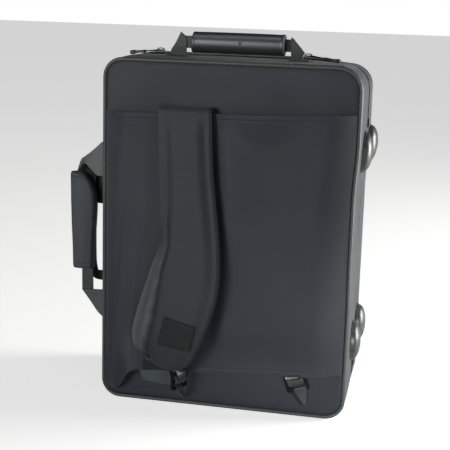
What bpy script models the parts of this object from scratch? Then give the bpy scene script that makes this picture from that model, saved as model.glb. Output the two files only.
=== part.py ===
"""A soft-covered double clarinet case with backpack straps, standing on its short end.

Metres, +Z up. The back, with its straps, faces -Y. The lid opens on the long side at +X, and the side
handle is at -X. The origin lies on the ground under the middle of the deeper half.
"""

import math

import bmesh
import bpy
from mathutils import Matrix, Vector

# Driving sizes of the case
CASE_WIDTH = 0.276
CASE_HEIGHT = 0.385
BASE_DEPTH = 0.098
LID_DEPTH = 0.046
CORNER_RADIUS = 0.028
WALL = 0.006
PANEL = 0.004
GAP = 0.0003
SOFT_GAP = 0.0006
OVERRUN = 0.004
CORNER_STEPS = 6
ROUND_STEPS = 16

# Where the two halves meet, and the outer faces
BACK_Y = -BASE_DEPTH / 2
ZIP_Y = BASE_DEPTH / 2
FRONT_Y = ZIP_Y + LID_DEPTH
HALF_WIDTH = CASE_WIDTH / 2
WELD = 0.00001


# Scene and materials

def clear_scene():
    for old in list(bpy.data.objects):
        bpy.data.objects.remove(old)


def new_collection(name):
    group = bpy.data.collections.new(name)
    bpy.context.scene.collection.children.link(group)
    return group


def new_material(name, colour, roughness, metallic=0.0):
    material = bpy.data.materials.new(name)
    material.use_nodes = True
    shader = material.node_tree.nodes["Principled BSDF"]
    shader.inputs["Base Color"].default_value = (*colour, 1.0)
    shader.inputs["Roughness"].default_value = roughness
    shader.inputs["Metallic"].default_value = metallic
    return material


clear_scene()
CASE = new_collection("clarinet_case")
CUTTERS = new_collection("cutters")

NYLON = new_material("charcoal_nylon", (0.040, 0.045, 0.050), 0.85)
WEBBING = new_material("black_webbing", (0.020, 0.022, 0.024), 0.80)
PIPING = new_material("grey_piping", (0.110, 0.120, 0.125), 0.60)
ZIP_TAPE = new_material("black_zip_tape", (0.015, 0.016, 0.017), 0.80)
PLASTIC = new_material("black_plastic", (0.018, 0.019, 0.020), 0.35)
FOOT_RUBBER = new_material("grey_foot_rubber", (0.080, 0.085, 0.085), 0.45)
METAL = new_material("dark_nickel", (0.300, 0.300, 0.310), 0.30, 1.0)
PLUSH = new_material("black_plush", (0.012, 0.012, 0.014), 0.95)


# Making pieces

def place_object(name, mesh, material, group=CASE):
    piece = bpy.data.objects.new(name, mesh)
    group.objects.link(piece)
    mesh.materials.clear()
    mesh.materials.append(material)
    return piece


def face_outwards(shape):
    """Point every face outwards; a thin folded sheet can come out the wrong way round."""
    bmesh.ops.recalc_face_normals(shape, faces=shape.faces)
    if shape.calc_volume(signed=True) < 0:
        bmesh.ops.reverse_faces(shape, faces=shape.faces)


def tidy_mesh(mesh):
    """Weld the loose caps of a curve and point every face outwards."""
    shape = bmesh.new()
    shape.from_mesh(mesh)
    bmesh.ops.remove_doubles(shape, verts=shape.verts, dist=WELD)
    face_outwards(shape)
    shape.to_mesh(mesh)
    shape.free()


def curve_to_piece(name, curve, material, matrix, group=CASE):
    """Turn a curve into a mesh piece that stands where matrix puts it."""
    guide = bpy.data.objects.new(name + "_curve", curve)
    CUTTERS.objects.link(guide)
    guide.matrix_world = matrix
    bpy.context.view_layer.update()
    graph = bpy.context.evaluated_depsgraph_get()
    mesh = bpy.data.meshes.new_from_object(guide.evaluated_get(graph))
    tidy_mesh(mesh)
    bpy.data.objects.remove(guide)
    piece = place_object(name, mesh, material, group)
    piece.matrix_world = matrix
    return piece


def add_spline(curve, points, closed):
    spline = curve.splines.new("POLY")
    spline.points.add(len(points) - 1)
    for control, point in zip(spline.points, points):
        control.co = (point[0], point[1], point[2] if len(point) > 2 else 0.0, 1.0)
    spline.use_cyclic_u = closed


# An outline is drawn in two axes; the third is the way that it faces
FACING = {
    "X": Matrix(((0, 0, 1, 0), (1, 0, 0, 0), (0, 1, 0, 0), (0, 0, 0, 1))),
    "Y": Matrix(((1, 0, 0, 0), (0, 0, -1, 0), (0, 1, 0, 0), (0, 0, 0, 1))),
    "Z": Matrix.Identity(4),
}


def flat_piece(name, material, outlines, span, facing="Y", edge=0.0, pivot=None, group=CASE):
    """A flat outline with any holes, between the two places of span along the axis that it faces."""
    low, high = span
    curve = bpy.data.curves.new(name, "CURVE")
    curve.dimensions = "2D"
    curve.fill_mode = "BOTH"
    curve.extrude = (high - low) / 2
    for outline in outlines:
        add_spline(curve, outline, True)
    axis = Vector([axis_name == facing for axis_name in "XYZ"])
    matrix = Matrix.Translation(axis * (low + high) / 2) @ FACING[facing]
    piece = curve_to_piece(name, curve, material, matrix, group)
    if edge:
        bevel_edges(piece, edge)
    if pivot:
        set_origin(piece, pivot)
    return piece


def bevel_edges(piece, width, steps=1):
    bevel = piece.modifiers.new("rounded_edges", "BEVEL")
    bevel.width = width
    bevel.segments = steps
    bevel.limit_method = "ANGLE"
    bevel.angle_limit = math.radians(50)


def set_origin(piece, point):
    """Move a piece's origin to its joint's axis, and leave its shape where it is."""
    target = Matrix.Translation(Vector(point))
    piece.data.transform(target.inverted() @ piece.matrix_world)
    piece.matrix_world = target


def rounded_outline(low, high, radius, steps=CORNER_STEPS):
    """Points anticlockwise round a rectangle with rounded corners, from the lower right corner."""
    corners = (
        (high[0] - radius, low[1] + radius, -90),
        (high[0] - radius, high[1] - radius, 0),
        (low[0] + radius, high[1] - radius, 90),
        (low[0] + radius, low[1] + radius, 180),
    )
    points = []
    for centre_a, centre_b, start in corners:
        for step in range(steps + 1):
            angle = math.radians(start + 90 * step / steps)
            points.append((centre_a + radius * math.cos(angle), centre_b + radius * math.sin(angle)))
    return points


def case_outline(inset):
    """The case's outline seen from the back, drawn in by inset."""
    low = (-HALF_WIDTH + inset, inset)
    high = (HALF_WIDTH - inset, CASE_HEIGHT - inset)
    return rounded_outline(low, high, CORNER_RADIUS - inset)


def ellipse(centre, radius_a, radius_b, steps=ROUND_STEPS):
    turns = [2 * math.pi * step / steps for step in range(steps)]
    return [(centre[0] + radius_a * math.cos(t), centre[1] + radius_b * math.sin(t)) for t in turns]


def swept_piece(name, material, path, closed, profile):
    """A profile carried along a path round the case: points are (inward, place in Y)."""
    section = bpy.data.curves.new(name + "_section", "CURVE")
    section.dimensions = "2D"
    add_spline(section, profile, True)
    section_guide = bpy.data.objects.new(name + "_section", section)
    CUTTERS.objects.link(section_guide)
    curve = bpy.data.curves.new(name, "CURVE")
    curve.dimensions = "2D"
    curve.bevel_mode = "OBJECT"
    curve.bevel_object = section_guide
    curve.use_fill_caps = not closed
    add_spline(curve, path if closed else path[::-1], closed)
    piece = curve_to_piece(name, curve, material, FACING["Y"])
    bpy.data.objects.remove(section_guide)
    return piece


def case_sweep(name, material, path, closed, section):
    """Sweep a section given as (inset, y): the outline faces -Y, so y is turned round."""
    return swept_piece(name, material, path, closed, [(inset, -y) for inset, y in section])


def tube(name, material, points, radius, closed=False, sides=2):
    curve = bpy.data.curves.new(name, "CURVE")
    curve.dimensions = "3D"
    curve.bevel_depth = radius
    curve.bevel_resolution = sides
    curve.use_fill_caps = not closed
    add_spline(curve, points, closed)
    return curve_to_piece(name, curve, material, Matrix.Identity(4))


def cut(piece, cutter):
    """Take a hidden cutter's shape out of a piece."""
    cutter.hide_render = True
    cutter.display_type = "WIRE"
    boolean = piece.modifiers.new("cut_" + cutter.name, "BOOLEAN")
    boolean.operation = "DIFFERENCE"
    boolean.object = cutter


def rod(name, material, start, end, radius, steps=ROUND_STEPS, group=CASE):
    """A round bar between two places on a line along X, Y or Z."""
    start, end = Vector(start), Vector(end)
    shape = bmesh.new()
    turn = (end - start).to_track_quat("Z", "Y").to_matrix().to_4x4()
    matrix = Matrix.Translation((start + end) / 2) @ turn
    bmesh.ops.create_cone(
        shape, cap_ends=True, segments=steps, radius1=radius, radius2=radius,
        depth=(end - start).length, matrix=matrix,
    )
    mesh = bpy.data.meshes.new(name)
    shape.to_mesh(mesh)
    shape.free()
    mesh.shade_smooth()
    mesh.set_sharp_from_angle(angle=math.radians(40))
    return place_object(name, mesh, material, group)


def block(name, material, low, high, group=CASE):
    """A plain box between two corners."""
    low, high = Vector(low), Vector(high)
    shape = bmesh.new()
    size = Matrix.Diagonal((*(high - low), 1.0))
    bmesh.ops.create_cube(shape, size=1.0, matrix=Matrix.Translation((low + high) / 2) @ size)
    mesh = bpy.data.meshes.new(name)
    shape.to_mesh(mesh)
    shape.free()
    return place_object(name, mesh, material, group)


def soft_piece(name, material, cells, form, levels=1, holes=()):
    """A soft closed form: a grid given a back and a front, each point placed by form(across, along, side).

    across and along run from 0 to 1, and side is -1 on the face towards the case and 1 on the outer face.
    holes lists the grid cells that stay open.
    """
    columns, rows = cells
    shape = bmesh.new()
    bmesh.ops.create_grid(shape, x_segments=columns, y_segments=rows, size=0.5)
    open_cells = []
    for face in shape.faces:
        middle = face.calc_center_median()
        cell = (int((middle.x + 0.5) * columns), int((middle.y + 0.5) * rows))
        if cell in holes:
            open_cells.append(face)
    bmesh.ops.delete(shape, geom=open_cells, context="FACES")
    inner = {vert: (vert.co.x + 0.5, vert.co.y + 0.5) for vert in shape.verts}
    copied = bmesh.ops.extrude_face_region(shape, geom=list(shape.faces), use_keep_orig=True)
    outer = [item for item in copied["geom"] if isinstance(item, bmesh.types.BMVert)]
    outer = {vert: (vert.co.x + 0.5, vert.co.y + 0.5) for vert in outer}
    for verts, side in ((inner, -1), (outer, 1)):
        for vert, (across, along) in verts.items():
            vert.co = form(across, along, side)
    face_outwards(shape)
    mesh = bpy.data.meshes.new(name)
    shape.to_mesh(mesh)
    shape.free()
    mesh.shade_smooth()
    piece = place_object(name, mesh, material)
    if levels:
        soften = piece.modifiers.new("soft_surface", "SUBSURF")
        soften.levels = levels
        soften.render_levels = levels
    return piece


def smooth_step(value):
    value = min(max(value, 0.0), 1.0)
    return value * value * (3 - 2 * value)


def smooth_between(stations, place):
    """Read a value off a list of (place, value) with soft joins between them."""
    if place <= stations[0][0]:
        return stations[0][1]
    for (start, low), (end, high) in zip(stations, stations[1:]):
        if place <= end:
            return low + (high - low) * smooth_step((place - start) / (end - start))
    return stations[-1][1]


def line_between(stations, place):
    """Read a value off a list of (place, value) along a curve that passes through them all."""
    if place <= stations[0][0]:
        return stations[0][1]
    if place >= stations[-1][0]:
        return stations[-1][1]
    index = next(i for i in range(1, len(stations)) if place <= stations[i][0])
    (start, low), (end, high) = stations[index - 1], stations[index]
    before = stations[max(index - 2, 0)]
    after = stations[min(index + 1, len(stations) - 1)]
    share = (place - start) / (end - start)
    reach = end - start
    slope_in = (high - before[1]) / (end - before[0]) * reach
    slope_out = (after[1] - low) / (after[0] - start) * reach
    square, cube = share ** 2, share ** 3
    return (
        (2 * cube - 3 * square + 1) * low + (cube - 2 * square + share) * slope_in
        + (3 * square - 2 * cube) * high + (cube - square) * slope_out
    )


# Shells: each half is a flat panel and a wall, joined by a piping seam, with a step for the zip
PIPING_RADIUS = 0.002
PIPING_PROUD = 0.001
ZIP_TAPE_WIDTH = 0.006
ZIP_TAPE_THICKNESS = 0.0015
ZIP_RECESS = 0.0003
WALL_ROUND = 0.001
EDGE_SEAM = 2 * PIPING_RADIUS + GAP
PLANE_GAP = GAP / 2
ZIP_STEP = ZIP_RECESS + ZIP_TAPE_THICKNESS + GAP

# The zip ends on the hinge side; between its ends lies the cloth hinge
ZIP_END_DROP = 0.067
ZIP_UPPER_END_Z = CASE_HEIGHT - ZIP_END_DROP
ZIP_LOWER_END_Z = 0.038
STOP_LENGTH = 0.010
STOP_REACH = 0.008
STOP_THICKNESS = 0.0015
STOP_ROUND = 0.0004
HINGE_X = HALF_WIDTH + STOP_THICKNESS


def half_place(side):
    """Return a function from a distance off the zip plane to a place in Y; side -1 is the deeper half."""
    return lambda distance: ZIP_Y + side * distance


def ordered(first, second):
    return (min(first, second), max(first, second))


def build_shell(prefix, panel_name, side, depth):
    at = half_place(side)
    flat_piece(
        panel_name, NYLON, [case_outline(EDGE_SEAM)],
        ordered(at(depth), at(depth - PANEL)),
    )
    seam = at(depth - EDGE_SEAM)
    seam_round = at(depth - EDGE_SEAM - WALL_ROUND)
    tape = at(PLANE_GAP + ZIP_TAPE_WIDTH + GAP)
    tape_round = at(PLANE_GAP + ZIP_TAPE_WIDTH + GAP + WALL_ROUND)
    rim = at(PLANE_GAP)
    section = [
        (WALL, seam), (WALL_ROUND, seam), (0.0, seam_round), (0.0, tape_round), (WALL_ROUND, tape),
        (ZIP_STEP, tape), (ZIP_STEP, rim), (WALL, rim),
    ]
    wall = case_sweep(prefix + "_wall", NYLON, case_outline(0.0), True, section)
    piping_y = at(depth - PIPING_RADIUS + PIPING_PROUD)
    route = [(x, piping_y, z) for x, z in case_outline(PIPING_RADIUS)]
    tube(prefix + "_piping", PIPING, route, PIPING_RADIUS, closed=True)
    build_zip_half(prefix, at)
    return wall


def build_zip_half(prefix, at):
    outline = case_outline(0.0)
    corner = CORNER_STEPS + 1
    route = [(HALF_WIDTH, ZIP_UPPER_END_Z)] + outline[corner:] + outline[:corner]
    route.append((HALF_WIDTH, ZIP_LOWER_END_Z))
    inner = ZIP_RECESS + ZIP_TAPE_THICKNESS
    near, far = at(PLANE_GAP), at(PLANE_GAP + ZIP_TAPE_WIDTH)
    section = [(ZIP_RECESS, near), (inner, near), (inner, far), (ZIP_RECESS, far)]
    case_sweep(prefix + "_zip", ZIP_TAPE, route, False, section)
    low, high = ordered(near, far)
    block(
        prefix + "_hinge_tape", NYLON,
        (HALF_WIDTH - inner, low, ZIP_LOWER_END_Z + GAP),
        (HALF_WIDTH - ZIP_RECESS, high, ZIP_UPPER_END_Z - GAP),
    )
    stop_low, stop_high = ordered(near, at(PLANE_GAP + STOP_REACH))
    for label, end_z in (("upper", ZIP_UPPER_END_Z), ("lower", ZIP_LOWER_END_Z)):
        stop = block(
            "zip_stop_" + label + "_" + prefix, NYLON,
            (HALF_WIDTH, stop_low, end_z - STOP_LENGTH / 2),
            (HALF_WIDTH + STOP_THICKNESS, stop_high, end_z + STOP_LENGTH / 2),
        )
        bevel_edges(stop, STOP_ROUND)


BASE_WALL = build_shell("base", "back_panel", -1, BASE_DEPTH)
LID_WALL = build_shell("lid", "lid_panel", 1, LID_DEPTH)


# Feet: four domed rubber feet on the hinge side, each held by a screw from inside
FOOT_LENGTH = 0.046
FOOT_WIDTH = 0.036
FOOT_HEIGHT = 0.0105
FOOT_EDGE = 0.0015
FOOT_HOLE_RADIUS = 0.0026
FOOT_HOLE_DEPTH = 0.0045
FOOT_DROP = 0.094
FOOT_UPPER_Z = CASE_HEIGHT - FOOT_DROP
FOOT_LOWER_Z = 0.077
FOOT_STEPS = 24
SCREW_RADIUS = 0.0015
SCREW_HEAD_RADIUS = 0.0035
SCREW_HEAD = 0.0012
SCREW_CLEARANCE = 0.0004
SCREW_GRIP = 0.0035
# Radius and height of the dome, from its tip down to its edge, as shares of the foot's own
DOME_SHARES = ((0.14, 1.0), (0.38, 0.95), (0.60, 0.82), (0.79, 0.60), (0.92, 0.34))


def turned(name, material, profile, matrix, steps, stretch=1.0, group=CASE):
    """Spin a profile of (radius, height) about its own axis, then place it; stretch narrows it one way."""
    shape = bmesh.new()
    verts = [shape.verts.new((radius, 0.0, height)) for radius, height in profile]
    edges = [shape.edges.new(pair) for pair in zip(verts, verts[1:])]
    bmesh.ops.spin(
        shape, geom=verts + edges, cent=(0, 0, 0), axis=(0, 0, 1), angle=2 * math.pi, steps=steps,
        use_merge=True,
    )
    bmesh.ops.remove_doubles(shape, verts=shape.verts, dist=WELD)
    bmesh.ops.scale(shape, vec=(1.0, stretch, 1.0), verts=shape.verts)
    face_outwards(shape)
    mesh = bpy.data.meshes.new(name)
    shape.to_mesh(mesh)
    shape.free()
    mesh.shade_smooth()
    mesh.set_sharp_from_angle(angle=math.radians(40))
    mesh.transform(matrix)
    return place_object(name, mesh, material, group)


def build_foot(prefix, label, wall, place_y, place_z):
    outwards = Matrix(((0, 0, 1, 0), (0, 1, 0, 0), (-1, 0, 0, 0), (0, 0, 0, 1)))
    seat = Matrix.Translation((HALF_WIDTH + GAP, place_y, place_z)) @ outwards
    radius = FOOT_LENGTH / 2
    dome = [(0.0, FOOT_HEIGHT)]
    dome += [(radius * r, FOOT_HEIGHT * h) for r, h in DOME_SHARES]
    dome += [(radius, FOOT_EDGE), (radius, 0.0), (FOOT_HOLE_RADIUS, 0.0)]
    dome += [(FOOT_HOLE_RADIUS, FOOT_HOLE_DEPTH), (0.0, FOOT_HOLE_DEPTH)]
    turned(
        "foot_" + prefix + "_" + label, FOOT_RUBBER, dome, seat, FOOT_STEPS,
        stretch=FOOT_WIDTH / FOOT_LENGTH,
    )
    wall_face = Matrix.Translation((HALF_WIDTH, place_y, place_z)) @ outwards
    hole = SCREW_RADIUS + SCREW_CLEARANCE
    sink = SCREW_HEAD_RADIUS + SCREW_CLEARANCE
    sink_floor = -WALL + SCREW_HEAD + 2 * GAP
    cutter = turned(
        "screw_hole_" + prefix + "_" + label, METAL,
        [(0.0, OVERRUN), (hole, OVERRUN), (hole, sink_floor), (sink, sink_floor),
         (sink, -WALL - OVERRUN), (0.0, -WALL - OVERRUN)],
        wall_face, ROUND_STEPS, group=CUTTERS,
    )
    cut(wall, cutter)
    head_low = -WALL + GAP
    turned(
        "foot_screw_" + prefix + "_" + label, METAL,
        [(0.0, SCREW_GRIP), (SCREW_RADIUS, SCREW_GRIP), (SCREW_RADIUS, head_low + SCREW_HEAD),
         (SCREW_HEAD_RADIUS, head_low + SCREW_HEAD), (SCREW_HEAD_RADIUS, head_low), (0.0, head_low)],
        wall_face, ROUND_STEPS,
    )


FOOT_PLACES = (
    ("base", BASE_WALL, BACK_Y + BASE_DEPTH / 2),
    ("lid", LID_WALL, FRONT_Y - LID_DEPTH / 2),
)
for foot_prefix, foot_wall, foot_y in FOOT_PLACES:
    build_foot(foot_prefix, "upper", foot_wall, foot_y, FOOT_UPPER_Z)
    build_foot(foot_prefix, "lower", foot_wall, foot_y, FOOT_LOWER_Z)


# Inside: a floor pad, a foam block with wells for two clarinets, and a padded lid
FLOOR_PAD = 0.022
BLOCK_BELOW_RIM = 0.008
LID_PAD = 0.008
LID_PAD_ROUND = 0.002
WELL_ROUND = 0.008
LONG_WELL_COUNT = 4
WELL_RIB = 0.012
WELL_SIDE_RIB = 0.022
WELL_TOP_RIB = 0.011
BELL_SIDE_RIB = 0.008
BELL_WELL_HEIGHT = 0.078
MOUTHPIECE_WELL_WIDTH = 0.030
MOUTHPIECE_RIB = 0.008
LOWER_WELLS_Z = 0.018
ROW_RIB = 0.010
WELL_STEPS = 3

INNER_INSET = WALL + GAP
FLOOR_LOW_Y = BACK_Y + PANEL + GAP
FLOOR_HIGH_Y = FLOOR_LOW_Y + FLOOR_PAD
BLOCK_HIGH_Y = ZIP_Y - BLOCK_BELOW_RIM
INNER_HALF = HALF_WIDTH - WALL
LONG_WELLS_Z = LOWER_WELLS_Z + BELL_WELL_HEIGHT + ROW_RIB
LONG_WELLS_HIGH_Z = CASE_HEIGHT - WALL - WELL_TOP_RIB
LONG_WELL_PITCH = (2 * (INNER_HALF - WELL_SIDE_RIB) + WELL_RIB) / LONG_WELL_COUNT
LONG_WELL_WIDTH = LONG_WELL_PITCH - WELL_RIB
BELL_NEAR_X = MOUTHPIECE_RIB / 2 + MOUTHPIECE_WELL_WIDTH + WELL_RIB
BELL_FAR_X = INNER_HALF - BELL_SIDE_RIB


def well_outlines():
    """Four long wells for the joints, over two bell wells and two mouthpiece and barrel wells."""
    outlines = []
    first = -(LONG_WELL_COUNT - 1) * LONG_WELL_PITCH / 2
    for index in range(LONG_WELL_COUNT):
        middle = first + index * LONG_WELL_PITCH
        low = (middle - LONG_WELL_WIDTH / 2, LONG_WELLS_Z)
        high = (middle + LONG_WELL_WIDTH / 2, LONG_WELLS_HIGH_Z)
        outlines.append(rounded_outline(low, high, WELL_ROUND, WELL_STEPS))
    for side in (-1, 1):
        small = ordered(side * MOUTHPIECE_RIB / 2, side * (MOUTHPIECE_RIB / 2 + MOUTHPIECE_WELL_WIDTH))
        bell = ordered(side * BELL_NEAR_X, side * BELL_FAR_X)
        for low_x, high_x in (small, bell):
            low = (low_x, LOWER_WELLS_Z)
            high = (high_x, LOWER_WELLS_Z + BELL_WELL_HEIGHT)
            outlines.append(rounded_outline(low, high, WELL_ROUND, WELL_STEPS))
    return outlines


flat_piece("floor_pad", PLUSH, [case_outline(INNER_INSET)], (FLOOR_LOW_Y, FLOOR_HIGH_Y))
flat_piece(
    "well_block", PLUSH, [case_outline(INNER_INSET)] + well_outlines(),
    (FLOOR_HIGH_Y + GAP, BLOCK_HIGH_Y),
)
LID_PAD_HIGH_Y = FRONT_Y - PANEL - GAP
flat_piece(
    "lid_pad", PLUSH, [case_outline(INNER_INSET)], (LID_PAD_HIGH_Y - LID_PAD, LID_PAD_HIGH_Y),
    edge=LID_PAD_ROUND,
)


# Top handle: a webbing loop with mitred corners, sewn to two patches, in a moulded grip
WEBBING_THICKNESS = 0.0022
PATCH_LENGTH = 0.022
PATCH_WIDTH = 0.026
PATCH_THICKNESS = 0.0015
PATCH_ROUND = 0.0004
HANDLE_LEG_OUTER = 0.0765
HANDLE_LEG_INNER = 0.0595
HANDLE_SHOULDER = 0.0065
HANDLE_PEAK_X = 0.066
HANDLE_PEAK_Z = 0.0245
HANDLE_BAND_X = 0.062
BAND_HEIGHT = 0.015
BAND_MIDDLE = 0.018
GRIP_LENGTH = 0.101
GRIP_WIDTH = 0.026
GRIP_HEIGHT = 0.0232
GRIP_DROP = 0.0015
GRIP_ROUND = 0.0012
GRIP_STEPS = 28
WEBBING_ROUND = 0.0007
SNAP_RADIUS = 0.004
SNAP_THICKNESS = 0.0015
HANDLE_Y = BACK_Y + BASE_DEPTH / 2

patch_top_z = CASE_HEIGHT + GAP + PATCH_THICKNESS
HANDLE_PIVOT_Z = patch_top_z + GAP + WEBBING_THICKNESS / 2
BAND_Z = CASE_HEIGHT + BAND_MIDDLE
GRIP_Z = BAND_Z - GRIP_DROP
PIVOT = (0.0, HANDLE_Y, HANDLE_PIVOT_Z)

leg_middle = (HANDLE_LEG_OUTER + HANDLE_LEG_INNER) / 2
for patch_label, patch_side in (("left", -1), ("right", 1)):
    patch = block(
        "handle_patch_" + patch_label, WEBBING,
        (patch_side * leg_middle - PATCH_LENGTH / 2, HANDLE_Y - PATCH_WIDTH / 2, CASE_HEIGHT + GAP),
        (patch_side * leg_middle + PATCH_LENGTH / 2, HANDLE_Y + PATCH_WIDTH / 2, patch_top_z),
    )
    bevel_edges(patch, PATCH_ROUND)

leg_foot_z = patch_top_z + GAP
band_low_z = BAND_Z - BAND_HEIGHT / 2
band_high_z = BAND_Z + BAND_HEIGHT / 2
right_outer = [
    (HANDLE_LEG_OUTER, leg_foot_z),
    (HANDLE_LEG_OUTER, CASE_HEIGHT + HANDLE_SHOULDER),
    (HANDLE_PEAK_X, CASE_HEIGHT + HANDLE_PEAK_Z + WEBBING_THICKNESS),
    (HANDLE_BAND_X, band_high_z),
]
right_inner = [(HANDLE_LEG_INNER, band_low_z), (HANDLE_LEG_INNER, leg_foot_z)]
left_outer = [(-x, z) for x, z in reversed(right_outer)]
left_inner = [(-x, z) for x, z in reversed(right_inner)]
handle_half = WEBBING_THICKNESS / 2
flat_piece(
    "handle_webbing", WEBBING, [right_outer + left_outer + left_inner + right_inner],
    (HANDLE_Y - handle_half, HANDLE_Y + handle_half), edge=WEBBING_ROUND, pivot=PIVOT,
)
slot_low = (HANDLE_Y - handle_half - GAP, band_low_z - GAP)
slot_high = (HANDLE_Y + handle_half + GAP, band_high_z + GAP)
slot = [slot_low, (slot_high[0], slot_low[1]), slot_high, (slot_low[0], slot_high[1])]
flat_piece(
    "handle_grip", PLASTIC,
    [ellipse((HANDLE_Y, GRIP_Z), GRIP_WIDTH / 2, GRIP_HEIGHT / 2, GRIP_STEPS), slot],
    (-GRIP_LENGTH / 2, GRIP_LENGTH / 2), facing="X", edge=GRIP_ROUND, pivot=PIVOT,
)
grip_face = HANDLE_Y - GRIP_WIDTH / 2 - GAP
snap = rod(
    "handle_snap", METAL, (0.0, grip_face - SNAP_THICKNESS, GRIP_Z), (0.0, grip_face, GRIP_Z), SNAP_RADIUS,
)
set_origin(snap, PIVOT)


# Side handle: one webbing loop sewn into each half beside the zip, both held in a padded wrap
LOOP_OFF_ZIP = 0.009
LOOP_REACH = 0.056
LOOP_BAND = 0.015
LOOP_MITRE = 0.026
SIDE_HANDLE_SHARE = 0.444
BASE_LOOP_REACH = 0.108
BASE_LOOP_LEGS = (0.036, 0.036)
LID_LOOP_UP = 0.070
LID_LOOP_DOWN = 0.063
LID_LOOP_LEGS = (0.030, 0.014)
LID_LOOP_DRAWN_IN = 0.001
WRAP_DROP = 0.046
WRAP_LENGTH = 0.1172
WRAP_OVERHANG = 0.013
WRAP_THICKNESS = 0.0035
WRAP_CLEARANCE = 0.0008
WRAP_MOUTH = 0.006
WRAP_ROUND = 0.006
WRAP_EDGE = 0.001

LOOP_OUTER_X = -HALF_WIDTH - LOOP_REACH
LOOP_INNER_X = LOOP_OUTER_X + LOOP_BAND
LOOP_ROOT_X = -HALF_WIDTH - GAP
SIDE_HANDLE_Z = SIDE_HANDLE_SHARE * CASE_HEIGHT
WRAP_LOW_Z = SIDE_HANDLE_Z - WRAP_DROP
# The lid's loop goes out over the wrap's nearer side, so that side is lower
WRAP_MOUTH_Y = ZIP_Y + LOOP_OFF_ZIP + WRAP_MOUTH
WRAP_NEAR_MOUTH_Y = ZIP_Y + LOOP_OFF_ZIP - WEBBING_THICKNESS / 2 - WRAP_CLEARANCE


def side_loop(name, place_y, high_z, low_z, legs, drawn_in):
    """A flat webbing loop whose corners are folded to a slant, with its legs against the wall."""
    upper_leg, lower_leg = legs
    outer = LOOP_OUTER_X + drawn_in
    inner = LOOP_INNER_X - drawn_in
    outline = [
        (LOOP_ROOT_X, high_z), (outer + LOOP_MITRE, high_z), (outer, high_z - LOOP_MITRE),
        (outer, low_z + LOOP_MITRE), (outer + LOOP_MITRE, low_z), (LOOP_ROOT_X, low_z),
        (LOOP_ROOT_X, low_z + lower_leg), (inner, low_z + lower_leg), (inner, high_z - upper_leg),
        (LOOP_ROOT_X, high_z - upper_leg),
    ]
    span = (place_y - WEBBING_THICKNESS / 2, place_y + WEBBING_THICKNESS / 2)
    return flat_piece(name, WEBBING, [outline], span)


side_loop(
    "side_loop_base", ZIP_Y - LOOP_OFF_ZIP, SIDE_HANDLE_Z + BASE_LOOP_REACH,
    SIDE_HANDLE_Z - BASE_LOOP_REACH, BASE_LOOP_LEGS, 0.0,
)
side_loop(
    "side_loop_lid", ZIP_Y + LOOP_OFF_ZIP, SIDE_HANDLE_Z + LID_LOOP_UP,
    SIDE_HANDLE_Z - LID_LOOP_DOWN, LID_LOOP_LEGS, LID_LOOP_DRAWN_IN,
)


def channel_outline(low_x, high_x, floor_y, corner):
    """A channel's half outline: down the case's side, round both corners and up the outer side."""
    points = [(high_x, WRAP_NEAR_MOUTH_Y)]
    for centre_x, start in ((high_x - corner, 0), (low_x + corner, -90)):
        for step in range(CORNER_STEPS + 1):
            angle = math.radians(start - 90 * step / CORNER_STEPS)
            points.append((centre_x + corner * math.cos(angle), floor_y + corner + corner * math.sin(angle)))
    points.append((low_x, WRAP_MOUTH_Y))
    return points


wrap_inner_low = LOOP_OUTER_X - WRAP_OVERHANG + WRAP_THICKNESS
wrap_inner_high = LOOP_INNER_X + WRAP_CLEARANCE
wrap_floor = ZIP_Y - LOOP_OFF_ZIP - WEBBING_THICKNESS / 2 - WRAP_CLEARANCE
wrap_outer = channel_outline(
    wrap_inner_low - WRAP_THICKNESS, wrap_inner_high + WRAP_THICKNESS, wrap_floor - WRAP_THICKNESS,
    WRAP_ROUND,
)
wrap_inner = channel_outline(wrap_inner_low, wrap_inner_high, wrap_floor, WRAP_ROUND - WRAP_THICKNESS)
flat_piece(
    "side_wrap", NYLON, [wrap_outer + wrap_inner[::-1]], (WRAP_LOW_Z, WRAP_LOW_Z + WRAP_LENGTH),
    facing="Z", edge=WRAP_EDGE,
)


# Strap sleeve: a loose nylon panel over the back, open at top and bottom, that hides the straps
SLEEVE_HALF = HALF_WIDTH - EDGE_SEAM - WALL_ROUND
SLEEVE_THICKNESS = 0.0016
SLEEVE_STAND_OFF = 0.0065
SLEEVE_LOW_STAND_OFF = 0.0085
SLEEVE_ROWS = 7
# Height of the bottom and top edges, as shares of the case's height, at shares of the sleeve's half width
SLEEVE_TOP_SHARES = ((-1.0, 0.8506), (-0.60, 0.8506), (-0.075, 0.858), (0.577, 0.866), (1.0, 0.8714))
SLEEVE_BOTTOM_SHARES = (
    (-1.0, 0.047), (-0.885, 0.052), (-0.795, 0.070), (-0.69, 0.092), (-0.165, 0.108),
    (0.375, 0.1195), (0.69, 0.122), (1.0, 0.140),
)
SLEEVE_COLUMN_SHARES = (0, 0.055, 0.10, 0.15, 0.22, 0.34, 0.46, 0.53, 0.60, 0.72, 0.84, 0.91, 0.96, 1)
# It is low over the left strap's place and stands higher over the stowed strap
SLEEVE_LEFT_SHARES = (-0.81, -0.105)
SLEEVE_RIGHT_SHARES = (0.05, 0.75)
SLEEVE_LOW_SHARES = (0.155, 0.26)

# Shoulder straps: padded and bound at the edges
STRAP_WIDTH = 0.058
STRAP_PAD = 0.0050
STRAP_ROOT_PAD = 0.0015
STRAP_EDGE_SHARE = 0.40
STRAP_BELLY = 0.0162
STRAP_CLEARANCE = 0.0009
RIGHT_STRAP_PAD = 0.0045

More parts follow.
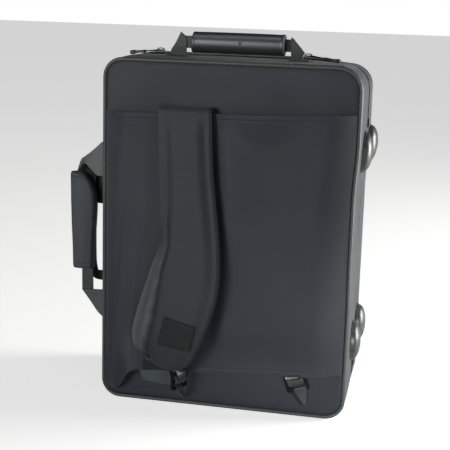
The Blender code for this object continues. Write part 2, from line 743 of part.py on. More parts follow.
LEFT_ROOT_OFF = 2 * SOFT_GAP + STRAP_ROOT_PAD
LEFT_HANG_OFF = SLEEVE_STAND_OFF + SLEEVE_THICKNESS + STRAP_CLEARANCE + STRAP_PAD
RIGHT_STRAP_OFF = 2 * SOFT_GAP + RIGHT_STRAP_PAD
SLEEVE_OVER_STRAP = RIGHT_STRAP_OFF + RIGHT_STRAP_PAD + 2 * STRAP_CLEARANCE


def share_table(table, unit_in, unit_out):
    return [(place * unit_in, value * unit_out) for place, value in table]


def sleeve_stand_off(x, z):
    low_z, high_z = (share * CASE_HEIGHT for share in SLEEVE_LOW_SHARES)
    low = smooth_step((high_z - z) / (high_z - low_z))
    over_strap = SLEEVE_OVER_STRAP + (SLEEVE_LOW_STAND_OFF - SLEEVE_OVER_STRAP) * low
    stations = (
        (-SLEEVE_HALF, SOFT_GAP),
        (SLEEVE_LEFT_SHARES[0] * SLEEVE_HALF, SLEEVE_STAND_OFF),
        (SLEEVE_LEFT_SHARES[1] * SLEEVE_HALF, SLEEVE_STAND_OFF),
        (SLEEVE_RIGHT_SHARES[0] * SLEEVE_HALF, over_strap),
        (SLEEVE_RIGHT_SHARES[1] * SLEEVE_HALF, over_strap),
        (SLEEVE_HALF, SOFT_GAP),
    )
    return smooth_between(stations, x)


def table_share(shares, across):
    """Read a table of even steps at across, which runs from 0 to 1."""
    step = across * (len(shares) - 1)
    before = min(int(step), len(shares) - 2)
    return shares[before] + (shares[before + 1] - shares[before]) * (step - before)


def sleeve_form(across, along, side):
    x = SLEEVE_HALF * (2 * table_share(SLEEVE_COLUMN_SHARES, across) - 1)
    bottom = line_between(share_table(SLEEVE_BOTTOM_SHARES, SLEEVE_HALF, CASE_HEIGHT), x)
    top = line_between(share_table(SLEEVE_TOP_SHARES, SLEEVE_HALF, CASE_HEIGHT), x)
    z = bottom + (top - bottom) * along
    stand_off = sleeve_stand_off(x, z) + (SLEEVE_THICKNESS if side > 0 else 0.0)
    return (x, BACK_Y - stand_off, z)


soft_piece("strap_sleeve", NYLON, (len(SLEEVE_COLUMN_SHARES) - 1, SLEEVE_ROWS), sleeve_form)


# Left strap: sewn to the panel behind the sleeve, folded over its top edge, hanging down outside
# Height, passage over the sleeve's edge and swell away from it, as shares, from the root to the tip
LEFT_STRAP_ROUTE_SHARES = (
    (0.774, 0, 0), (0.836, 0, 0), (0.8623, 0.055, 0), (0.8758, 0.45, 0), (0.8662, 0.88, 0),
    (0.8364, 1, 0), (0.779, 1, 0.105), (0.7065, 1, 0.20), (0.634, 1, 0.32), (0.561, 1, 0.475),
    (0.488, 1, 0.66), (0.4156, 1, 0.845), (0.343, 1, 0.97), (0.270, 1, 1), (0.208, 1, 0.91),
    (0.165, 1, 0.77), (0.141, 1, 0.66), (0.126, 1, 0.57),
)
# Height as a share of the case's, and the middle as a share of the case's half width
LEFT_STRAP_MIDDLE_SHARES = (
    (0.126, -0.370), (0.141, -0.400), (0.165, -0.417), (0.208, -0.402), (0.270, -0.366),
    (0.343, -0.312), (0.4156, -0.268), (0.488, -0.243), (0.561, -0.246), (0.634, -0.264),
    (0.7065, -0.283), (0.883, -0.312),
)
# Height as a share of the case's, and half the width as a share of half the strap's
LEFT_STRAP_WIDTH_SHARES = (
    (0.126, 0.414), (0.141, 0.828), (0.165, 1.138), (0.208, 1.362), (0.270, 1.466), (0.343, 1.483),
    (0.4156, 1.362), (0.488, 1.19), (0.561, 1.086), (0.634, 1.034), (0.7065, 1.01), (0.883, 1.0),
)
FLANK_SHARE = 0.30
FLANK_DROP = 0.0150
CREASE_DEPTH = 0.0035
CREASE_SHARE = 0.07
FLANK_HEIGHT_SHARES = (0.39, 0.636)
PAD_START_SHARE = 0.30
ROOT_END_SHARE = 0.18
STRAP_COLUMNS = 8
LEFT_STRAP_ROWS = len(LEFT_STRAP_ROUTE_SHARES) - 1


def pad_share(across):
    """A pad is full over its middle and thin at its bound edges."""
    return 1 - (1 - STRAP_EDGE_SHARE) * (2 * across - 1) ** 4


def left_strap_place(across, along):
    """Middle surface and half thickness of the hanging strap."""
    step = along * LEFT_STRAP_ROWS
    before = min(int(step), LEFT_STRAP_ROWS - 1)
    share = step - before
    start, end = LEFT_STRAP_ROUTE_SHARES[before:before + 2]
    height, passage, belly = (low + (high - low) * share for low, high in zip(start, end))
    z = height * CASE_HEIGHT
    stand_off = LEFT_ROOT_OFF + (LEFT_HANG_OFF - LEFT_ROOT_OFF) * passage + STRAP_BELLY * belly
    middle = line_between(LEFT_STRAP_MIDDLE_SHARES, height) * HALF_WIDTH
    half_width = line_between(LEFT_STRAP_WIDTH_SHARES, height) * STRAP_WIDTH / 2
    x = middle + half_width * (2 * across - 1)
    hanging = smooth_step((along - ROOT_END_SHARE) / (PAD_START_SHARE - ROOT_END_SHARE))
    low_share, high_share = FLANK_HEIGHT_SHARES
    turned_in = smooth_step((high_share - height) / (high_share - low_share))
    flank = smooth_step((FLANK_SHARE - across) / FLANK_SHARE)
    crease = math.exp(-(((across - FLANK_SHARE) / CREASE_SHARE) ** 2))
    stand_off -= hanging * turned_in * (FLANK_DROP * flank * belly + CREASE_DEPTH * crease)
    half = (STRAP_ROOT_PAD + (STRAP_PAD - STRAP_ROOT_PAD) * hanging) * pad_share(across)
    return x, stand_off, z, half


def left_strap_normal(across, along):
    """The outward way of the strap's face, as (stand-off, height)."""
    nudge = 1 / (2 * LEFT_STRAP_ROWS)
    ahead = left_strap_place(across, min(along + nudge, 1.0))
    behind = left_strap_place(across, max(along - nudge, 0.0))
    run = Vector((ahead[1] - behind[1], ahead[2] - behind[2])).normalized()
    return -run.y, run.x


def left_strap_form(across, along, side):
    """Round the fold the pad's thickness points along the fold's own radius."""
    x, stand_off, z, half = left_strap_place(across, along)
    outwards, upwards = left_strap_normal(across, along)
    return (x, BACK_Y - stand_off - side * half * outwards, z + side * half * upwards)


soft_piece("left_strap", NYLON, (STRAP_COLUMNS, LEFT_STRAP_ROWS), left_strap_form)

# Webbing stitched to the strap's lower face, running off its tip to the buckle
STRAP_WEBBING = 0.0014
WEBBING_FROM_SHARE = 0.765
WEBBING_LEFT_SHARES = ((0.765, 0.42), (0.90, 0.40), (0.97, 0.42), (1.0, 0.46))
WEBBING_RIGHT_SHARES = ((0.765, 0.80), (0.90, 0.82), (0.97, 0.78), (1.0, 0.74))
WEBBING_LIFT = 0.0016
WEBBING_CELLS = (2, 5)


def left_webbing_form(across, along, side):
    run = WEBBING_FROM_SHARE + (1 - WEBBING_FROM_SHARE) * along
    low, high = line_between(WEBBING_LEFT_SHARES, run), line_between(WEBBING_RIGHT_SHARES, run)
    place = low + (high - low) * across
    x, stand_off, z, half = left_strap_place(place, run)
    outwards, upwards = left_strap_normal(place, run)
    lift = half + WEBBING_LIFT + side * STRAP_WEBBING / 2
    return (x, BACK_Y - stand_off - lift * outwards, z + lift * upwards)


soft_piece("left_strap_webbing", WEBBING, WEBBING_CELLS, left_webbing_form)

# Right strap: stowed flat between the back panel and the sleeve
RIGHT_STRAP_MIDDLE_SHARES = (
    (0.178, 0.556), (0.203, 0.538), (0.260, 0.478), (0.338, 0.391), (0.4156, 0.319),
    (0.494, 0.275), (0.571, 0.275), (0.678, 0.304), (0.857, 0.319),
)
RIGHT_STRAP_WIDTH_SHARES = (
    (0.178, 0.38), (0.203, 0.69), (0.260, 0.93), (0.338, 1.03), (0.4156, 1.07), (0.494, 1.07),
    (0.571, 1.05), (0.678, 1.02), (0.857, 1.0),
)
RIGHT_STRAP_ROWS = 9
RIGHT_STRAP_COLUMNS = 5


def right_strap_form(across, along, side):
    low, high = RIGHT_STRAP_MIDDLE_SHARES[0][0], RIGHT_STRAP_MIDDLE_SHARES[-1][0]
    height = low + (high - low) * along ** 1.2
    middle = line_between(RIGHT_STRAP_MIDDLE_SHARES, height) * HALF_WIDTH
    half_width = line_between(RIGHT_STRAP_WIDTH_SHARES, height) * STRAP_WIDTH / 2
    x = middle + half_width * (2 * across - 1)
    half = RIGHT_STRAP_PAD * pad_share(across)
    return (x, BACK_Y - RIGHT_STRAP_OFF - side * half, height * CASE_HEIGHT)


soft_piece("right_strap", NYLON, (RIGHT_STRAP_COLUMNS, RIGHT_STRAP_ROWS), right_strap_form)


# Strap buckles: a ladder frame with two slots, on a triangular webbing tab sewn low on the panel
BUCKLE_WIDTH = 0.0245
BUCKLE_HEIGHT = 0.0200
BUCKLE_THICKNESS = 0.0032
BUCKLE_ROUND = 0.0022
BUCKLE_EDGE = 0.0005
BUCKLE_BAR = 0.0034
BUCKLE_SLOT = 0.0046
BUCKLE_RAIL = 0.0024
TAB_WIDTH = 0.019
TAB_TIP = 0.005
TAB_LENGTH = 0.0165
TAB_THICKNESS = 0.0018
STRAP_TAIL_LENGTH = 0.0235
STRAP_TAIL_WIDTH = 0.018
RIGHT_BUCKLE_SHARE = 0.617
RIGHT_BUCKLE_DROP = 0.026
RIGHT_BUCKLE_TILT = 19
LEFT_BUCKLE_SHARE = -0.301
LEFT_BUCKLE_DROP = 0.012
LEFT_BUCKLE_OFF = 0.0208
LEFT_BUCKLE_TURN = 62
LEFT_TAB_TURN = 85
LEFT_TAB_SKEW = 0.0179


def buckle_outlines():
    half = BUCKLE_WIDTH / 2
    low, high = (-half, -BUCKLE_HEIGHT / 2), (half, BUCKLE_HEIGHT / 2)
    outer = rounded_outline(low, high, BUCKLE_ROUND, WELL_STEPS)
    slots = []
    for side in (-1, 1):
        near, far = ordered(side * BUCKLE_BAR / 2, side * (BUCKLE_BAR / 2 + BUCKLE_SLOT))
        slot = [(-half + BUCKLE_RAIL, near), (half - BUCKLE_RAIL, near)]
        slots.append(slot + [(half - BUCKLE_RAIL, far), (-half + BUCKLE_RAIL, far)])
    return [outer] + slots


def tab_outline(skew):
    top = -BUCKLE_HEIGHT / 2 - GAP
    half, tip = TAB_WIDTH / 2, TAB_TIP / 2
    foot = top - TAB_LENGTH
    return [(-half, top), (skew - tip, foot), (skew + tip, foot), (half, top)]


def turn_piece(piece, centre, turn, tilt):
    """Set a piece made round the origin at its centre, turned about Z after a tilt about Y."""
    angles = Matrix.Rotation(math.radians(turn), 4, "Z") @ Matrix.Rotation(math.radians(tilt), 4, "Y")
    piece.matrix_world = Matrix.Translation(Vector(centre)) @ angles @ piece.matrix_world


right_tip_z = RIGHT_STRAP_MIDDLE_SHARES[0][0] * CASE_HEIGHT
left_tip_z = LEFT_STRAP_ROUTE_SHARES[-1][0] * CASE_HEIGHT
right_centre = (
    RIGHT_BUCKLE_SHARE * HALF_WIDTH, BACK_Y - GAP - BUCKLE_THICKNESS / 2,
    right_tip_z - RIGHT_BUCKLE_DROP,
)
left_centre = (
    LEFT_BUCKLE_SHARE * HALF_WIDTH, BACK_Y - LEFT_BUCKLE_OFF, left_tip_z - LEFT_BUCKLE_DROP,
)
frame_half = BUCKLE_THICKNESS / 2
tab_low = frame_half - TAB_THICKNESS
right_buckle = flat_piece(
    "right_buckle", PLASTIC, buckle_outlines(), (-frame_half, frame_half), edge=BUCKLE_EDGE,
)
right_tab = flat_piece("right_tab", WEBBING, [tab_outline(0.0)], (tab_low, frame_half))
tail_half = STRAP_TAIL_WIDTH / 2
tail_low = BUCKLE_BAR / 2
tail = [(-tail_half, tail_low), (tail_half, tail_low)]
tail += [(tail_half, tail_low + STRAP_TAIL_LENGTH), (-tail_half, tail_low + STRAP_TAIL_LENGTH)]
tail_face = -frame_half - GAP
right_tail = flat_piece("right_strap_webbing", WEBBING, [tail], (tail_face - STRAP_WEBBING, tail_face))
for piece in (right_buckle, right_tab, right_tail):
    turn_piece(piece, right_centre, 0, -RIGHT_BUCKLE_TILT)
left_buckle = flat_piece(
    "left_buckle", PLASTIC, buckle_outlines(), (-frame_half, frame_half), edge=BUCKLE_EDGE,
)
left_tab = flat_piece(
    "left_tab", WEBBING, [tab_outline(LEFT_TAB_SKEW)], (-TAB_THICKNESS / 2, TAB_THICKNESS / 2),
)
turn_piece(left_buckle, left_centre, LEFT_BUCKLE_TURN, 0)
turn_piece(left_tab, left_centre, LEFT_TAB_TURN, 0)


# Zip sliders: a body over the teeth with a bridge, and a puller whose end bar lies in the bridge
SLIDER_LENGTH = 0.014
SLIDER_WIDTH = 0.009
SLIDER_THICKNESS = 0.0028
SLIDER_EDGE = 0.0004
BRIDGE_WIDTH = 0.0026
BRIDGE_LENGTH = 0.0075
BRIDGE_HEIGHT = 0.0036
BRIDGE_METAL = 0.0011
PULLER_LENGTH = 0.034
PULLER_WIDTH = 0.0085
PULLER_THICKNESS = 0.0016
PULLER_BAR = 0.0016
PULLER_EYE_LENGTH = 0.0075
PULLER_EYE_WIDTH = 0.0045
PULLER_ROUND = 0.0018
PULLER_EDGE = 0.0004
LEFT_SLIDER_INSET = 0.006
RIGHT_SLIDER_INSET = 0.037
LEFT_SLIDER_X = -HALF_WIDTH + CORNER_RADIUS + LEFT_SLIDER_INSET
RIGHT_SLIDER_X = HALF_WIDTH - CORNER_RADIUS - RIGHT_SLIDER_INSET


def build_slider(slider_name, puller_name, seat, pivot_side):
    """Made lying along X with its face up, then set on its seat; its puller points to pivot_side."""
    half_length, half_width = SLIDER_LENGTH / 2, SLIDER_WIDTH / 2
    body = flat_piece(
        slider_name, METAL,
        [rounded_outline((-half_length, -half_width), (half_length, half_width), PULLER_ROUND, WELL_STEPS)],
        (0.0, SLIDER_THICKNESS), facing="Z", edge=SLIDER_EDGE,
    )
    reach, top = BRIDGE_LENGTH / 2, SLIDER_THICKNESS + BRIDGE_HEIGHT
    sunk = SLIDER_THICKNESS / 2
    inner_reach, inner_top = reach - BRIDGE_METAL, top - BRIDGE_METAL
    arch = [
        (-reach, sunk), (-reach, top), (reach, top), (reach, sunk), (inner_reach, sunk),
        (inner_reach, inner_top), (-inner_reach, inner_top), (-inner_reach, sunk),
    ]
    bridge = flat_piece(
        slider_name + "_bridge", METAL, [arch], (-BRIDGE_WIDTH / 2, BRIDGE_WIDTH / 2), group=CUTTERS,
    )
    bridge.hide_render = True
    bridge.display_type = "WIRE"
    body.matrix_world = seat @ body.matrix_world
    bridge.matrix_world = seat @ bridge.matrix_world
    join = body.modifiers.new("bridge", "BOOLEAN")
    join.operation = "UNION"
    join.object = bridge
    bar_z = SLIDER_THICKNESS + (BRIDGE_HEIGHT - BRIDGE_METAL) / 2
    half_bar, half_puller = PULLER_BAR / 2, PULLER_WIDTH / 2
    low, high = (-half_bar, -half_puller), (PULLER_LENGTH, half_puller)
    outer = rounded_outline(low, high, half_bar, WELL_STEPS)
    eye_half = PULLER_EYE_WIDTH / 2
    eye = [(half_bar, -eye_half), (half_bar + PULLER_EYE_LENGTH, -eye_half)]
    eye += [(half_bar + PULLER_EYE_LENGTH, eye_half), (half_bar, eye_half)]
    outline = [[(pivot_side * a, b) for a, b in ring] for ring in (outer, eye)]
    puller = flat_piece(
        puller_name, METAL, outline,
        (bar_z - PULLER_THICKNESS / 2, bar_z + PULLER_THICKNESS / 2), facing="Z", edge=PULLER_EDGE,
    )
    puller.matrix_world = seat @ puller.matrix_world
    set_origin(body, seat.translation)
    set_origin(puller, seat @ Vector((0.0, 0.0, bar_z)))


TOP_SEAT_Z = CASE_HEIGHT + GAP
build_slider(
    "zip_slider_left", "zip_puller_left", Matrix.Translation((LEFT_SLIDER_X, ZIP_Y, TOP_SEAT_Z)), -1,
)
build_slider(
    "zip_slider_right", "zip_puller_right", Matrix.Translation((RIGHT_SLIDER_X, ZIP_Y, TOP_SEAT_Z)), 1,
)


# Music pocket on the lid: a raised nylon panel sewn on all round, with a zip across it near the top
POCKET_SIDE_INSET = 0.026
POCKET_TOP_INSET = 0.050
POCKET_SLIT_DROP = 0.035
POCKET_ZIP_INSET = 0.018
POCKET_SLIDER_INSET = 0.034
POCKET_HALF_WIDTH = HALF_WIDTH - POCKET_SIDE_INSET
POCKET_LOW_Z = 0.040
POCKET_HIGH_Z = CASE_HEIGHT - POCKET_TOP_INSET
POCKET_RISE = 0.0062
POCKET_THICKNESS = 0.0016
POCKET_SLIT_Z = POCKET_HIGH_Z - POCKET_SLIT_DROP
POCKET_SLIT = 0.006
POCKET_ROUND_SHARE = 0.06
POCKET_COLUMN_SHARES = (0, 0.03, 0.09, 0.18, 0.5, 0.82, 0.91, 0.97, 1)
POCKET_ROW_SHARES = (0, 0.03, 0.10, 0.4, 0.7)
POCKET_ZIP_REACH = POCKET_HALF_WIDTH - POCKET_ZIP_INSET
POCKET_ZIP_WIDTH = 0.010
POCKET_ZIP_THICKNESS = 0.0012
POCKET_SLIDER_X = -POCKET_HALF_WIDTH + POCKET_SLIDER_INSET

slit_shares = [
    (POCKET_SLIT_Z + side * POCKET_SLIT / 2 - POCKET_LOW_Z) / (POCKET_HIGH_Z - POCKET_LOW_Z)
    for side in (-1, 1)
]
POCKET_ROWS = list(POCKET_ROW_SHARES) + slit_shares + [(slit_shares[1] + 1) / 2, 1]
SLIT_ROW = len(POCKET_ROW_SHARES)
slit_cells = [(column, SLIT_ROW) for column in range(2, len(POCKET_COLUMN_SHARES) - 3)]


def pocket_form(across, along, side):
    across_share = table_share(POCKET_COLUMN_SHARES, across)
    along_share = table_share(POCKET_ROWS, along)
    x = POCKET_HALF_WIDTH * (2 * across_share - 1)
    z = POCKET_LOW_Z + (POCKET_HIGH_Z - POCKET_LOW_Z) * along_share
    off_edge = min(across_share, 1 - across_share, along_share, 1 - along_share)
    rise = GAP + POCKET_RISE * smooth_step(off_edge / POCKET_ROUND_SHARE)
    return (x, FRONT_Y + rise + (POCKET_THICKNESS if side > 0 else 0.0), z)


soft_piece(
    "pocket_panel", NYLON, (len(POCKET_COLUMN_SHARES) - 1, len(POCKET_ROWS) - 1), pocket_form,
    levels=0, holes=slit_cells,
)
pocket_face = FRONT_Y + GAP + POCKET_RISE + POCKET_THICKNESS + GAP
block(
    "pocket_zip", ZIP_TAPE,
    (-POCKET_ZIP_REACH, pocket_face, POCKET_SLIT_Z - POCKET_ZIP_WIDTH / 2),
    (POCKET_ZIP_REACH, pocket_face + POCKET_ZIP_THICKNESS, POCKET_SLIT_Z + POCKET_ZIP_WIDTH / 2),
)
pocket_seat_y = pocket_face + POCKET_ZIP_THICKNESS + GAP
pocket_seat = Matrix.Translation((POCKET_SLIDER_X, pocket_seat_y, POCKET_SLIT_Z))
build_slider(
    "pocket_slider", "pocket_puller", pocket_seat @ Matrix.Rotation(math.radians(-90), 4, "X"), 1,
)


# Everything that swings with the lid hangs on the hinge's axis
lid_axis = bpy.data.objects.new("lid_axis", None)
CASE.objects.link(lid_axis)
lid_axis.location = (HINGE_X, ZIP_Y, 0.0)
bpy.context.view_layer.update()
LID_PIECES = (
    "lid_panel", "lid_wall", "lid_piping", "lid_zip", "lid_hinge_tape", "zip_stop_upper_lid",
    "zip_stop_lower_lid", "lid_pad", "foot_lid_upper", "foot_lid_lower", "foot_screw_lid_upper",
    "foot_screw_lid_lower", "screw_hole_lid_upper", "screw_hole_lid_lower", "side_loop_lid",
    "pocket_panel", "pocket_zip",
)
for piece_name in LID_PIECES:
    piece = bpy.data.objects[piece_name]
    piece.parent = lid_axis
    piece.matrix_parent_inverse = lid_axis.matrix_world.inverted()
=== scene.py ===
import math

import bmesh
import bpy
from mathutils import Matrix, Vector, noise


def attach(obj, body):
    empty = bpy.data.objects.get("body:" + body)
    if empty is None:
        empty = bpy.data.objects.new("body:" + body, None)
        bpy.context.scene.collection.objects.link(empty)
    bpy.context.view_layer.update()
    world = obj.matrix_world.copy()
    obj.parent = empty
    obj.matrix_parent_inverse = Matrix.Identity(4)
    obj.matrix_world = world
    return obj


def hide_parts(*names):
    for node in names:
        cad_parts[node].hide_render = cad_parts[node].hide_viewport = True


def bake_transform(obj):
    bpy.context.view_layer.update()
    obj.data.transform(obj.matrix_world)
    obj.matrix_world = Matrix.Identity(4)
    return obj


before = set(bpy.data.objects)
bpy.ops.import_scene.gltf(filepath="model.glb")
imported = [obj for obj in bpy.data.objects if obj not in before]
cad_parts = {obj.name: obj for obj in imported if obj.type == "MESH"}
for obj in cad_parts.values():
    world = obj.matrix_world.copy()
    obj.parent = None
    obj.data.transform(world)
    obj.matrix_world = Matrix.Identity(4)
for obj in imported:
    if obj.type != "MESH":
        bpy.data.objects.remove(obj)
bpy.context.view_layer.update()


# Studio
# The case stands on a pale floor under soft light, with the brighter side on the hinge side, and is
# seen from a little above and a little to the right of its back.
scene = bpy.context.scene
scene.view_settings.view_transform = "Standard"
lens = bpy.data.cameras.new("camera")
lens.lens = 85.92
lens.sensor_width = 36.0
lens.clip_start = 0.01
camera = bpy.data.objects.new("camera", lens)
camera.location = (0.23413, -1.15903, 0.45808)
camera.rotation_euler = [math.radians(a) for a in (77.6549, -1.6265, 12.2259)]
scene.collection.objects.link(camera)
scene.camera = camera


def feed(tree, node, inputs):
    """Set or link a shader node's inputs, given as socket and value."""
    for socket, value in inputs.items():
        if isinstance(value, bpy.types.NodeSocket):
            tree.links.new(value, node.inputs[socket])
        else:
            node.inputs[socket].default_value = value
    return node


def add_node(tree, kind, inputs, **settings):
    node = tree.nodes.new("ShaderNode" + kind)
    for name, value in settings.items():
        setattr(node, name, value)
    return feed(tree, node, inputs)


def math_node(tree, operation, *values):
    return add_node(tree, "Math", dict(enumerate(values)), operation=operation).outputs[0]


def new_material(name):
    """A new material with its tree and its shader."""
    material = bpy.data.materials.new(name)
    material.use_nodes = True
    return material, material.node_tree, material.node_tree.nodes["Principled BSDF"]


bpy.ops.mesh.primitive_plane_add(size=24.0, location=(0.0, 0.0, -0.0005))
floor = bpy.context.object
floor.name = "floor"
floor_paint, floor_tree, floor_shader = new_material("floor_paint")
floor_seen = add_node(floor_tree, "LightPath", {}).outputs["Is Camera Ray"]
feed(floor_tree, floor_shader, {
    "Base Color": (0.80, 0.80, 0.80, 1.0), "Roughness": 0.9, "Specular IOR Level": 0.1,
    "Emission Color": (1.0, 1.0, 1.0, 1.0),
    "Emission Strength": math_node(floor_tree, "MULTIPLY", floor_seen, 0.62),
})
floor.data.materials.append(floor_paint)

world = bpy.data.worlds.new("studio")
scene.world = world
world.use_nodes = True
studio = world.node_tree
direction = add_node(studio, "TexCoord", {}).outputs["Generated"]
slope = {0: direction, 1: (0.08, 0.0, -0.06)}
slope = add_node(studio, "VectorMath", slope, operation="DOT_PRODUCT").outputs["Value"]
glow = math_node(studio, "MULTIPLY_ADD", slope, 0.60, 0.06)
seen = add_node(studio, "LightPath", {}).outputs["Is Camera Ray"]
shown = add_node(studio, "Mix", {"Factor": seen, "A": glow, "B": 1.0}).outputs["Result"]
feed(studio, studio.nodes["Background"], {"Color": (1.0, 1.0, 1.0, 1.0), "Strength": shown})


def softbox(name, place, target, size, power, cone=None):
    """An area light, or a spot light when it has a cone, aimed from its place at a target."""
    light = bpy.data.lights.new(name, "SPOT" if cone else "AREA")
    if cone:
        light.spot_size = math.radians(cone)
        light.spot_blend = 1.0
        light.shadow_soft_size = size
    else:
        light.shape = "RECTANGLE"
        light.size, light.size_y = size
    light.energy = power
    lamp = bpy.data.objects.new(name, light)
    lamp.location = place
    aim = Vector(target) - Vector(place)
    lamp.rotation_euler = aim.to_track_quat("-Z", "Y").to_euler()
    scene.collection.objects.link(lamp)
    return lamp


side = softbox("side", (1.55, 0.50, 0.36), (0.1, 0.0, 0.18), (0.6, 0.8), 48.0)
side.data.color = (1.0, 1.0, 0.965)
softbox("key", (-1.30, -2.50, 0.75), (0.0, 0.0, 0.2), (0.9, 0.9), 34.0)
softbox("fill", (1.10, -1.70, 0.40), (0.1, 0.0, 0.2), (0.5, 0.5), 3.4)
softbox("front", (-0.45, -2.4, 0.62), (0.0, 0.0, 0.3), (0.14, 0.14), 3.6)
softbox("bounce", (0.70, -0.90, 0.05), (0.135, -0.05, 0.045), 0.06, 22.0, cone=22)
gleam = softbox("gleam", (-0.34, -0.40, 1.80), (0.0, 0.0, 0.40), (0.25, 1.2), 3.6)
gleam.visible_diffuse = False


# Covers
# Each half of the case is boarded foam covered in charcoal woven nylon: a flat panel, and a wall bent
# round the corners, sewn together through the piping. Their faces are slightly crowned and puckered.
half_width, body_height = 0.138, 0.385
back_y, zip_y, front_y = -0.049, 0.049, 0.095
corner_radii = {(1, -1): 0.0225, (1, 1): 0.0265, (-1, 1): 0.0215, (-1, -1): 0.0215}


def case_line(inset, corner=14, side=1):
    """Points anticlockwise round the case's outline, seen from the back, drawn in by inset."""
    width, height = half_width - inset, body_height - inset
    points = []
    for right, up, start in ((1, -1, -90), (1, 1, 0), (-1, 1, 90), (-1, -1, 180)):
        radius = corner_radii[right, up] - inset
        x = right * (width - radius)
        z = height - radius if up > 0 else inset + radius
        arc = [math.radians(start + 90 * n / corner) for n in range(corner + 1)]
        arc = [(x + radius * math.cos(a), z + radius * math.sin(a)) for a in arc]
        if points and side > 1:
            before = Vector(points[-1])
            points += [tuple(before.lerp(Vector(arc[0]), n / side)) for n in range(1, side)]
        points += arc
    if side > 1:
        before = Vector(points[-1])
        points += [tuple(before.lerp(Vector(points[0]), n / side)) for n in range(1, side)]
    return points


def soft_step(value):
    value = min(max(value, 0.0), 1.0)
    return value * value * (3 - 2 * value)


def pick(piece):
    bpy.ops.object.select_all(action="DESELECT")
    bpy.context.view_layer.objects.active = piece
    piece.select_set(True)


def settle(piece, smooth=60):
    """Fix a piece's place into its mesh, with its faces pointing out."""
    pick(piece)
    bpy.ops.object.transform_apply(location=True, rotation=True, scale=True)
    shape = bmesh.new()
    shape.from_mesh(piece.data)
    bmesh.ops.remove_doubles(shape, verts=shape.verts, dist=0.00002)
    bmesh.ops.recalc_face_normals(shape, faces=shape.faces)
    if shape.calc_volume(signed=True) < 0:
        bmesh.ops.reverse_faces(shape, faces=shape.faces)
    shape.to_mesh(piece.data)
    shape.free()
    bpy.ops.object.shade_smooth_by_angle(angle=math.radians(smooth))
    return piece


def shaped(piece, kind, **settings):
    """Change a piece's mesh with a modifier."""
    modifier = piece.modifiers.new(kind.lower(), kind)
    for name, value in settings.items():
        setattr(modifier, name, value)
    pick(piece)
    bpy.ops.object.modifier_apply(modifier=modifier.name)
    return piece


def drawn(name, points, cyclic):
    """A flat curve with straight runs between points."""
    curve = bpy.data.curves.new(name, "CURVE")
    curve.dimensions = "2D"
    spline = curve.splines.new("POLY")
    spline.points.add(len(points) - 1)
    for point, place in zip(spline.points, points):
        point.co = (*place, 0.0, 1.0)
    spline.use_cyclic_u = cyclic
    piece = bpy.data.objects.new(name, curve)
    scene.collection.objects.link(piece)
    return piece


def sweep(name, line, closed, profile):
    """Carry a profile of (inset, y) along a line of (x, z) round the case."""
    guide = drawn(name + "_section", [(inset, -y) for inset, y in profile], True)
    piece = drawn(name, line if closed else line[::-1], closed)
    piece.data.bevel_mode = "OBJECT"
    piece.data.bevel_object = guide
    piece.data.use_fill_caps = not closed
    pick(piece)
    bpy.ops.object.convert(target="MESH")
    piece = bpy.context.object
    piece.rotation_euler = (math.radians(90), 0.0, 0.0)
    bpy.data.objects.remove(guide)
    return settle(piece)


def slump(piece):
    """The loaded case bulges a little at its upper hinge side, and the lid's top corner sinks."""
    for vert in piece.data.vertices:
        x, y, z = vert.co
        right = soft_step((x - 0.055) / 0.08)
        near = soft_step((0.049 - y) / 0.097)
        high = soft_step((z - 0.245) / 0.06)
        low = soft_step((0.18 - z) / 0.06)
        sunk = soft_step((y + 0.01) / 0.09) * soft_step((x - 0.078) / 0.035)
        vert.co.x += right * (0.0027 * high + near * (0.0011 + 0.0009 * low))
        vert.co.z -= 0.0050 * sunk * soft_step((z - 0.30) / 0.08)
    return piece


def dress(piece, material, slot, body, *nodes):
    piece.data.materials.clear()
    piece.data.materials.append(material)
    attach(piece, body)
    if nodes:
        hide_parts(*nodes)


def node_group(name, given, results):
    """A node group with these numbers as its inputs and outputs, and its two end nodes."""
    group = bpy.data.node_groups.new(name, "ShaderNodeTree")
    for way, labels in (("INPUT", given), ("OUTPUT", results)):
        for label in labels:
            group.interface.new_socket(label, in_out=way, socket_type="NodeSocketFloat")
    return group, group.nodes.new("NodeGroupInput"), group.nodes.new("NodeGroupOutput")


def noise_node(tree, scale, detail=2.0, roughness=0.5):
    place = add_node(tree, "TexCoord", {}).outputs["Object"]
    inputs = {"Vector": place, "Scale": scale, "Detail": detail, "Roughness": roughness}
    return add_node(tree, "TexNoise", inputs).outputs["Fac"]


def wave_node(tree, run, pitch):
    turns = math_node(tree, "DIVIDE", 2 * math.pi, pitch)
    return math_node(tree, "SINE", math_node(tree, "MULTIPLY", run, turns))


def tone_node(tree, share, dark, light, span=(0.0, 1.0)):
    """A colour between two tones."""
    ramp = add_node(tree, "ValToRGB", {"Fac": share})
    for element, place, tone in zip(ramp.color_ramp.elements, span, (dark, light)):
        element.position = place
        element.color = (*tone, 1.0)
    return ramp.outputs["Color"]


def bump_node(tree, height, strength, distance):
    inputs = {"Strength": strength, "Distance": distance, "Height": height}
    return add_node(tree, "Bump", inputs).outputs["Normal"]


